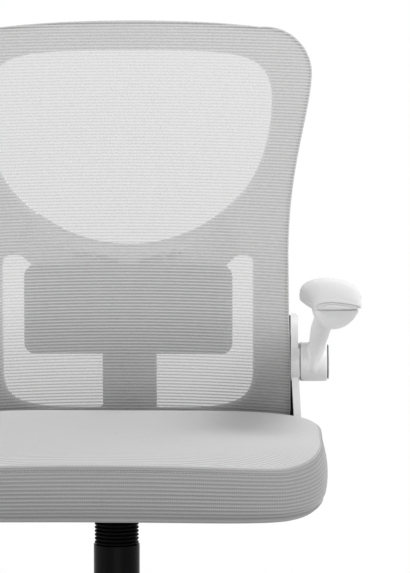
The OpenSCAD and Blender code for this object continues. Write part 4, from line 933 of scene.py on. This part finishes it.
def seatRings(count):
    # rows from the hollow's edge, under and up the band, over the seam and across the top panel
    rings, phase, mask = [], [], []
    for inwards, z, slope, rib in seatRows():
        o = seatOutline(inwards, count)
        sag = 0.0 if slope < 0 else 0.45 + 0.55 * slope
        rings.append(np.column_stack([o, z + max(slope, 0) * seatSlope(o[:, 1]) + sag * seamSag(o)]))
        calm = np.clip((np.abs(o[:, 0]) - bandForm["calmX"]) / bandForm["calmOver"], 0, 1)
        strength = 1.0 if bandForm["ribsFrom"] < rib < bandForm["ribsTo"] else bandForm["faintRib"]
        mask.append((1 - bandForm["calmShare"] * calm) * (strength if rib else 0.0))
        phase.append(np.full(count, (z - seat["z"]) / seat["ribPitch"]))
    inwards, up = groove[-1]
    edge = seatOutline(inwards, count)
    centre = np.array([0, seat["mid"]])
    f = topForm
    for k in np.linspace(0, 1, seat["topRows"])[1:-1]:
        o = centre + (edge - centre) * (1 - k)
        forward = (seat["mid"] - o[:, 1]) / (seat["d"] / 2)
        rimRise = (seat["crown"] - up) * (1 - (1 - min(k / f["rimShare"], 1)) ** f["rimPower"])
        sag = seamSag(edge) * (1 - min(k / f["sagShare"], 1)) ** 2
        # the front rolls over and the middle dips a little where one sits
        roll = f["roll"] * np.clip(forward - f["rollFrom"], 0, 1) ** 2 * min(k / 0.05, 1)
        dip = f["dip"] * np.exp(-((o[:, 0] / f["dipX"]) ** 2 + ((o[:, 1] - f["dipMid"]) / f["dipY"]) ** 2))
        z = seat["seam"] + up + rimRise + seatSlope(o[:, 1]) + sag - roll - dip
        rings.append(np.column_stack([o, z]))
        phase.append(o[:, 1] / seat["ribPitch"])
        ends = np.clip((f["ribEndX"] - np.abs(o[:, 0])) / f["ribEndOver"], 0, 1)
        mask.append(np.clip(3 * (forward - f["ribsFrom"]), 0, 1) * ends)
    return np.array(rings), np.array(phase), np.array(mask)


def puffed(obj, voxel, cap, reach):
    # swells a closed copy of the piece with inner pressure, and gives each point's way to the copy
    copy = bpy.data.objects.new("puffCopy", obj.data.copy())
    scene.collection.objects.link(copy)
    remeshed(copy, voxel, 0)
    rest = points(copy)
    s = copy.modifiers.new("cloth", "CLOTH").settings
    s.quality = puff["quality"]
    s.use_pressure = True
    s.uniform_pressure_force = puff["pressure"]
    s.effector_weights.gravity = 0
    s.tension_stiffness = s.compression_stiffness = puff["stiffness"]
    s.bending_stiffness = puff["bending"]
    for f in range(puff["frames"]):
        scene.frame_set(f + 1)
    applied(copy)
    scene.frame_set(1)
    move = points(copy) - rest
    far = np.linalg.norm(move, axis=1)
    setPoints(copy, rest + move * np.minimum(1, cap / np.maximum(far, 1e-9))[:, None])
    bm = bmesh.new()
    bm.from_mesh(copy.data)
    tree = BVHTree.FromBMesh(bm)
    bm.free()
    bpy.data.objects.remove(copy)
    co = points(obj)
    way = np.zeros_like(co)
    for i, p in enumerate(co):
        hit = tree.find_nearest(Vector(p), reach)[0]
        if hit is not None:
            way[i] = np.array(hit) - p
    return way


def swellSeat(obj, m, n):
    # only the band and the top panel swell, and the seam stays pulled in
    grid = puffed(obj, seatPuff["voxel"], seatPuff["cap"], seatPuff["reach"])[:m * n].reshape(m, n, 3)
    hold = 1 - np.exp(-((np.arange(m) - seat["seamRow"]) / seatPuff["seamRows"]) ** 2)
    hold[:seatPuff["stillRows"]] = 0
    for _ in range(seatPuff["evenings"]):
        grid = (np.roll(grid, 1, 1) + np.roll(grid, -1, 1) + 2 * grid) / 4
        grid[1:-1] = (grid[:-2] + grid[2:] + 2 * grid[1:-1]) / 4
    co = points(obj)
    co[:m * n] += (grid * hold[:, None, None]).reshape(-1, 3)
    setPoints(obj, co)


def makeSeatCushion():
    rings, phase, mask = seatRings(seat["columns"])
    m, n = rings.shape[:2]
    last = (m - 1) * n
    verts = np.vstack([rings.reshape(-1, 3), rings[-1].mean(0), [0, seat["mid"], seat["hollowTop"]]])
    faces = gridFaces(m, n, around=True)
    faces += [(last + j, last + (j + 1) % n, m * n) for j in range(n)]
    faces += [((j + 1) % n, j, m * n + 1) for j in range(n)]
    obj = meshFrom("seatCushion", verts, faces)
    fixNormals(obj)
    swellSeat(obj, m, n)
    # the two points after the rows are the middles of the top and of the hollow
    setAttribute(obj, "ribPhase", np.append(phase, [0, 0]))
    setAttribute(obj, "ribMask", np.append(mask, [0, 0]))
    runTree(obj, ribTree, "seatKnit", {"Depth": seat["ribDepth"], "Narrow": seat["ribNarrow"]})
    row = np.arange(len(obj.data.polygons)) // n
    # the band and the hollow take the darker knit, painted shade for faces that take less light than the top
    paintFaces(obj, "bandKnit", (row < seat["seamRow"]) | (row >= m))
    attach(obj, "seat")
    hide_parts("seat_cushion")
    grid = points(obj)[:m * n].reshape(m, n, 3)
    for name, (row, out, up) in stitchRows.items():
        line = resample(grid[row], 900)
        away = (line - [0, seat["mid"], 0]) * [1, 1, 0]
        away /= np.linalg.norm(away, axis=1)[:, None]
        s = lineObject(name, line + away * out + [0, 0, up])
        runTree(s, stitchTree, "seamThread", stitch)
        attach(s, "seat")


makeSeatCushion()
print("stage: seat")

# arms and arm pads
arm = {"hubX": 0.21717, "hubLen": 0.0345, "hubY": 0.212, "hubZ": 0.564, "hubR": 0.0245, "hubSkin": 0.0003,
       "padX": 0.25197, "padFront": -0.120, "padLen": 0.262, "padTop": 0.679, "padT": 0.027, "padW": 0.073,
       "padGap": 0.0002, "roll": 0.05, "beamH": 0.023, "noseIn": 0.008, "tailIn": 0.006, "lean": 0.10,
       "voxel": 0.0014}
arm["seatZ"] = arm["padTop"] - arm["padT"]
# x, y, z, half width and half height along the neck
neckStations = np.array([
    (0.2500, 0.080, 0.6405, 0.0150, 0.0095), (0.2500, 0.120, 0.6385, 0.0140, 0.0110),
    (0.2488, 0.150, 0.6320, 0.0120, 0.0150), (0.2470, 0.172, 0.6200, 0.0112, 0.0185),
    (0.2415, 0.189, 0.6030, 0.0118, 0.0200), (0.2385, 0.1975, 0.5860, 0.0098, 0.0205),
    (0.2362, 0.2015, 0.5735, 0.0080, 0.0205), (0.2345, 0.2030, 0.5640, 0.0055, 0.0200),
    (0.2340, 0.2050, 0.5605, 0.0022, 0.0190)])
# how far along the barrel's rounded ends, and how much smaller the radius is there
barrelEnd = [(0.0, 0.0016), (0.0006, 0.0005), (0.0016, 0)]
# share of the pad's front and how far it is pressed in
padFrontRings = [(0.93, 0.0), (0.86, 0.0009), (0.80, 0.0010), (0.72, 0.0001), (0.64, 0.0009), (0.58, 0.0010),
                 (0.48, 0.0002), (0.25, 0.0)]
padPuff = {"voxel": 0.004, "cap": 0.0012, "reach": 0.01, "share": 0.6, "above": 0.006, "behind": 0.012}


def scoopSection(y, depth, spread):
    # bowl below a flat rim, leaning to the inner side
    low = bezier([(-0.63, 0), (-0.47, -1.40), (0.52, -1.42), (0.89, 0)], np.linspace(0, 1, 28))
    line = np.concatenate([low, np.linspace(low[-1], low[0], 12)[1:-1]])
    x = arm["padX"] + (arm["lean"] + (line[:, 0] - arm["lean"]) * spread) * arm["padW"] / 2
    return np.stack([x, np.full(len(x), y), arm["seatZ"] - 0.0004 + line[:, 1] * arm["beamH"] * depth], 1)


def makeScoop():
    nose, tail = arm["padFront"] + arm["noseIn"], arm["padFront"] + arm["padLen"] - arm["tailIn"]
    rings = []
    for t in np.linspace(0, 1, 40):
        front = math.sqrt(max(1 - (1 - min(t / 0.12, 1)) ** 2, 0.0))
        rear = math.sqrt(max(1 - max((t - 0.86) / 0.14, 0) ** 2, 0.02))
        depth, spread = (0.32 + 0.68 * front) * rear, (0.72 + 0.28 * front) * (0.6 + 0.4 * rear)
        rings.append(scoopSection(nose + t * (tail - nose), depth, spread))
    return loftMesh("scoop", rings)


def makeNeck():
    # the neck sweeps back and down from under the scoop and ends low on the barrel's front
    at, fine = np.linspace(0, 1, len(neckStations)), np.linspace(0, 1, 50)
    line = np.stack([np.interp(fine, at, column) for column in neckStations.T], 1)
    for _ in range(6):
        line[1:-1] = (line[:-2] + 2 * line[1:-1] + line[2:]) / 4
    turn = circleTurns(40)
    across, upwards = rounded(np.cos(turn), 0.85), rounded(np.sin(turn), 0.85)
    rings = []
    for i, s in enumerate(line):
        ahead = line[min(i + 1, len(line) - 1), :3] - line[max(i - 1, 0), :3]
        ahead /= np.linalg.norm(ahead)
        sideways = np.array([1, 0, 0]) - ahead * ahead[0]
        sideways /= np.linalg.norm(sideways)
        up = np.cross(sideways, ahead)
        rings.append(s[:3] + np.outer(s[3] * across, sideways) + np.outer(s[4] * upwards, up))
    return loftMesh("neck", rings)


def makeBarrel():
    turn = circleTurns(72)
    rings = []
    for x, less in barrelEnd + [(arm["hubLen"] - x, less) for x, less in barrelEnd[::-1]]:
        r = arm["hubR"] + arm["hubSkin"] - less
        rings.append(np.stack([np.full(len(turn), arm["hubX"] + x), arm["hubY"] + r * np.cos(turn),
                               arm["hubZ"] + r * np.sin(turn)], 1))
    return loftMesh("barrel", rings)


def makeArm(side):
    obj = joined("armRight" if side > 0 else "armLeft", [makeScoop(), makeNeck(), makeBarrel()])
    remeshed(obj, arm["voxel"], 4)
    if side < 0:
        flipSide(obj)
    obj.data.materials.append(paints["whiteNylon"])
    smoothFaces(obj.data)
    word = "right" if side > 0 else "left"
    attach(obj, word + "_arm")
    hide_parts("arm_" + word)


def padSection(t, n):
    # blunt front, the inner side drawn in, flat underside, rounded tail
    tail = math.sqrt(max(1 - max((t - 0.7) / 0.3, 0) ** 2, 0.004))
    swell = 0.34 + 0.63 * (1 - (1 - min(t / 0.36, 1)) ** 2)
    fall = 1 - 0.25 * (max(t - 0.5, 0) * 2) ** 2
    tall = arm["padT"] * swell * fall * math.sqrt(tail)
    a = circleTurns(n) + math.pi / n
    c, s = np.cos(a), np.sin(a)
    blunt, drawn = (1 - min(t / 0.34, 1)) ** 1.5, (1 - min(t / 0.42, 1)) ** 1.6
    edge = tall * (0.27 + 0.13 * np.maximum(c, 0)) * (1 - np.where(c > 0, 0.1, 0.5) * blunt)
    wide = arm["padW"] / 2 * (1 - np.where(c < 0, 0.40, 0.10) * drawn) * tail
    x = wide * np.where(s > 0, rounded(c, 0.95), rounded(c, np.where(c > 0, 0.75, 0.5)))
    below = -edge * np.abs(s) ** np.where(c > 0, 0.85, 0.6)
    z = edge + np.where(s > 0, (tall - edge) * np.abs(s) ** 1.12, below)
    z = np.maximum(0, z - arm["roll"] * x * np.minimum(2 * z / arm["padT"], 1))
    return np.stack([arm["padX"] + x, np.full(n, arm["padFront"] + arm["padLen"] * t),
                     arm["seatZ"] + arm["padGap"] + z], 1)


def makeArmPad(side):
    shares = [0.5 - 0.5 * math.cos(math.pi * u ** 1.1) for u in np.linspace(0, 1, 90)]
    rings = [padSection(t, 96) for t in shares]
    # the front is a low arch, with two pressed rings inside it
    nose = rings[0]
    mid = np.array([arm["padX"] + 0.0035, arm["padFront"], arm["seatZ"] + arm["padGap"]])
    for share, push in padFrontRings:
        rings.insert(0, mid + (nose - mid) * share + [0, push, 0])
    obj = loftMesh("armPadRight" if side > 0 else "armPadLeft", rings, "padSkin")
    co = points(obj)
    low, front = arm["seatZ"] + padPuff["above"], arm["padFront"] + padPuff["behind"]
    swells = (co[:, 2] > low) & (co[:, 1] > front)
    way = puffed(obj, padPuff["voxel"], padPuff["cap"], padPuff["reach"])
    setPoints(obj, co + way * padPuff["share"] * swells[:, None])
    if side < 0:
        flipSide(obj)
    sub = obj.modifiers.new("smooth", "SUBSURF")
    sub.levels = sub.render_levels = 1
    applied(obj)
    word = "right" if side > 0 else "left"
    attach(obj, word + "_arm")
    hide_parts("arm_pad_" + word)


for side in (1, -1):
    makeArm(side)
    makeArmPad(side)
print("stage: arms")

# tilt spring
spring = {"y": -0.050, "z": 0.424, "radius": 0.0091, "wire": 0.0025, "turns": 13, "pitch": 0.0056, "lift": 30,
          "frontLeg": 0.040, "rearLeg": 0.0182, "bend": 0.0022, "turnPoints": 40, "legPoints": 12,
          "sides": 14}


def makeTiltSpring():
    turn = 360 * spring["turns"] - spring["lift"]
    along = np.linspace(0, 1, spring["turns"] * spring["turnPoints"] + 1)
    a, r = np.radians(90 - turn * along), spring["radius"]
    x = (along - 0.5) * spring["turns"] * spring["pitch"]
    coil = np.stack([x, spring["y"] + r * np.cos(a), spring["z"] + r * np.sin(a)], 1)
    away = math.radians(90 + spring["lift"])
    leg = spring["legPoints"]
    front = coil[0] - np.outer(np.linspace(spring["frontLeg"], spring["bend"], leg), [0, 1, 0])
    rear = coil[-1] + np.outer(np.linspace(spring["bend"], spring["rearLeg"], leg),
                               [0, math.sin(away), -math.cos(away)])
    line = lineObject("tiltSpring", np.concatenate([front, coil, rear]), closed=False)
    runTree(line, wireTree, "springSteel", {"Radius": spring["wire"], "Sides": spring["sides"]})
    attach(line, "seat")
    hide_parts("tilt_spring")


makeTiltSpring()
print("stage: spring")

# soft buffers between the back's frame and the brackets; their dark finish is painted shade for the narrow
# gap there
buffer = {"low": 0.590, "high": 0.6215, "inner": 0.2016, "outer": 0.2056, "front": 0.2262, "rear": 0.2322,
          "corner": 0.001}
# share of the buffer's height and how much slimmer it is there
bufferEnds = [(0, 0.0008), (0.02, 0.0003), (0.06, 0), (0.94, 0), (0.98, 0.0003), (1, 0.0008)]


def makeBuffer(side):
    b = buffer
    halfX, halfY = (b["outer"] - b["inner"]) / 2, (b["rear"] - b["front"]) / 2
    rings = []
    for share, slim in bufferEnds:
        x, y = roundRect(halfX - slim, halfY - slim, b["corner"], 4).T
        z = np.full(len(x), b["low"] + share * (b["high"] - b["low"]))
        rings.append(np.column_stack([side * (b["inner"] + halfX + x), b["front"] + halfY + y, z]))
    # dark plastic: painted shade for the gap between the back's frame and the bracket
    obj = loftMesh("shadeBufferRight" if side > 0 else "shadeBufferLeft", rings, "hoodPlastic")
    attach(obj, "seat")


for side in (1, -1):
    makeBuffer(side)
print("stage: buffers")

# the other nodes: rounded edges and finishes
# each node's finish and the width of its rounded edges
edgeFinish = {
    "base_star": ("whiteNylon", 0.0016), "arm_pivots": ("hubCap", 0.0006), "seat_pan": ("panPlastic", 0.0015),
    "cover_lower": ("blackGloss", 0.0004), "cover_middle": ("blackGloss", 0.0004),
    "cover_upper": ("blackGloss", 0.0004), "lever_paddle": ("blackGloss", 0.0015),
    "tension_knob": ("blackGloss", 0.0005), "mechanism_housing": ("powderCoat", 0.0014),
    "seat_plate": ("powderCoat", 0.0009), "back_upright": ("powderCoat", 0.0016),
    "lever_rocker": ("powderCoat", 0.0006), "arm_bracket_left": ("whiteNylon", 0.0010),
    "arm_bracket_right": ("whiteNylon", 0.0010), "seat_bolts": ("zincSteel", 0.0005),
    "back_bolts": ("zincSteel", 0.0005), "arm_bolts": ("zincSteel", 0.0005),
    "tilt_pin": ("zincSteel", 0.0005),
}
for k in range(1, 6):
    edgeFinish[f"caster_hood_{k}"] = ("hoodPlastic", 0.0007)
    for side in ("left", "right"):
        edgeFinish[f"caster_wheel_{side}_{k}"] = ("wheelNylon", 0.0005)
plainFinish = {"bootRubber": ["column_boot"], "panPlastic": ["guide_bush"], "powderCoat": ["gas_outer_tube"],
               "zincSteel": ["caster_stems", "piston_rod", "rod_bearing", "pressure_tube", "gas_button",
                             "tension_nut", "rocker_pin", "lever_rod", "tension_bolt"]
               + [f"caster_axle_{k}" for k in range(1, 6)]}
# where one node changes from one finish to another
borders = {"innerX": 0.2050, "outerX": 0.21560, "rearY": 0.2285, "lowZ": 0.5, "washerX": 0.2530,
           "tread": 0.0228}
edgeAngles = {"merge": 0.6, "round": 32}


def camel(name):
    words = name.split("_")
    return words[0] + "".join(w.capitalize() for w in words[1:])


def roundedCopy(name, paint, width):
    node = frame["nodes"][name]
    bm = bmesh.new()
    bm.from_mesh(node.data)
    bmesh.ops.remove_doubles(bm, verts=bm.verts, dist=1e-5)
    merge = math.radians(edgeAngles["merge"])
    bmesh.ops.dissolve_limit(bm, angle_limit=merge, verts=bm.verts, edges=bm.edges)
    mesh = bpy.data.meshes.new(camel(name))
    bm.to_mesh(mesh)
    bm.free()
    mesh.materials.clear()
    obj = addObject(camel(name), mesh, paint)
    edge = obj.modifiers.new("roundEdges", "BEVEL")
    edge.width = width
    edge.segments = 2
    edge.limit_method = "ANGLE"
    edge.angle_limit = math.radians(edgeAngles["round"])
    edge.use_clamp_overlap = True
    flat = obj.modifiers.new("flatFaces", "WEIGHTED_NORMAL")
    flat.keep_sharp = True
    applied(obj)
    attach(obj, node["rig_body"])
    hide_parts(name)
    return obj


def centres(obj):
    out = np.empty(len(obj.data.polygons) * 3)
    obj.data.polygons.foreach_get("center", out)
    return out.reshape(-1, 3)


def cutAt(obj, axis, place):
    # a new row of edges where two finishes meet
    bm = bmesh.new()
    bm.from_mesh(obj.data)
    normal = Vector([1.0 if i == axis else 0.0 for i in range(3)])
    parts = bm.verts[:] + bm.edges[:] + bm.faces[:]
    bmesh.ops.bisect_plane(bm, geom=parts, plane_co=normal * place, plane_no=normal)
    bm.to_mesh(obj.data)
    bm.free()


def finishBracket(obj, side):
    # coated steel, with a white strip beside the back's frame; the dark ring beside the barrel is painted
    # shade for the thin gap there, and the dark inner and rear steel is partly painted shade for the gap
    # beside the back's frame
    cutAt(obj, 0, side * borders["innerX"])
    cutAt(obj, 1, borders["rearY"])
    x, y, z = (centres(obj) * [side, 1, 1]).T
    steel = (x < borders["innerX"]) | (x > borders["outerX"]) & (z > borders["lowZ"]) | (y > borders["rearY"])
    paintFaces(obj, "powderCoat", steel)


def finishPivots(obj):
    # a dark washer under each white cap
    for side in (1, -1):
        cutAt(obj, 0, side * borders["washerX"])
    paintFaces(obj, "hoodPlastic", np.abs(centres(obj)[:, 0]) < borders["washerX"])


def finishWheel(obj, name):
    # a grey tread round the wheel's rim
    low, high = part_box(name)
    hub = np.array((low + high) / 2)
    low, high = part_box(f"caster_axle_{name[-1]}")
    along = hub - np.array((low + high) / 2)
    along /= np.linalg.norm(along)
    c = centres(obj) - hub
    far = np.linalg.norm(c - np.outer(c @ along, along), axis=1)
    paintFaces(obj, "treadRubber", far > borders["tread"])


for name, (paint, width) in edgeFinish.items():
    obj = roundedCopy(name, paint, width)
    if name.startswith("arm_bracket"):
        finishBracket(obj, 1 if name.endswith("right") else -1)
    elif name == "arm_pivots":
        finishPivots(obj)
    elif name.startswith("caster_wheel"):
        finishWheel(obj, name)

for paint, names in plainFinish.items():
    for name in names:
        node = frame["nodes"][name]
        for i in range(len(node.data.materials)):
            node.data.materials[i] = paints[paint]
print("stage: finishes")
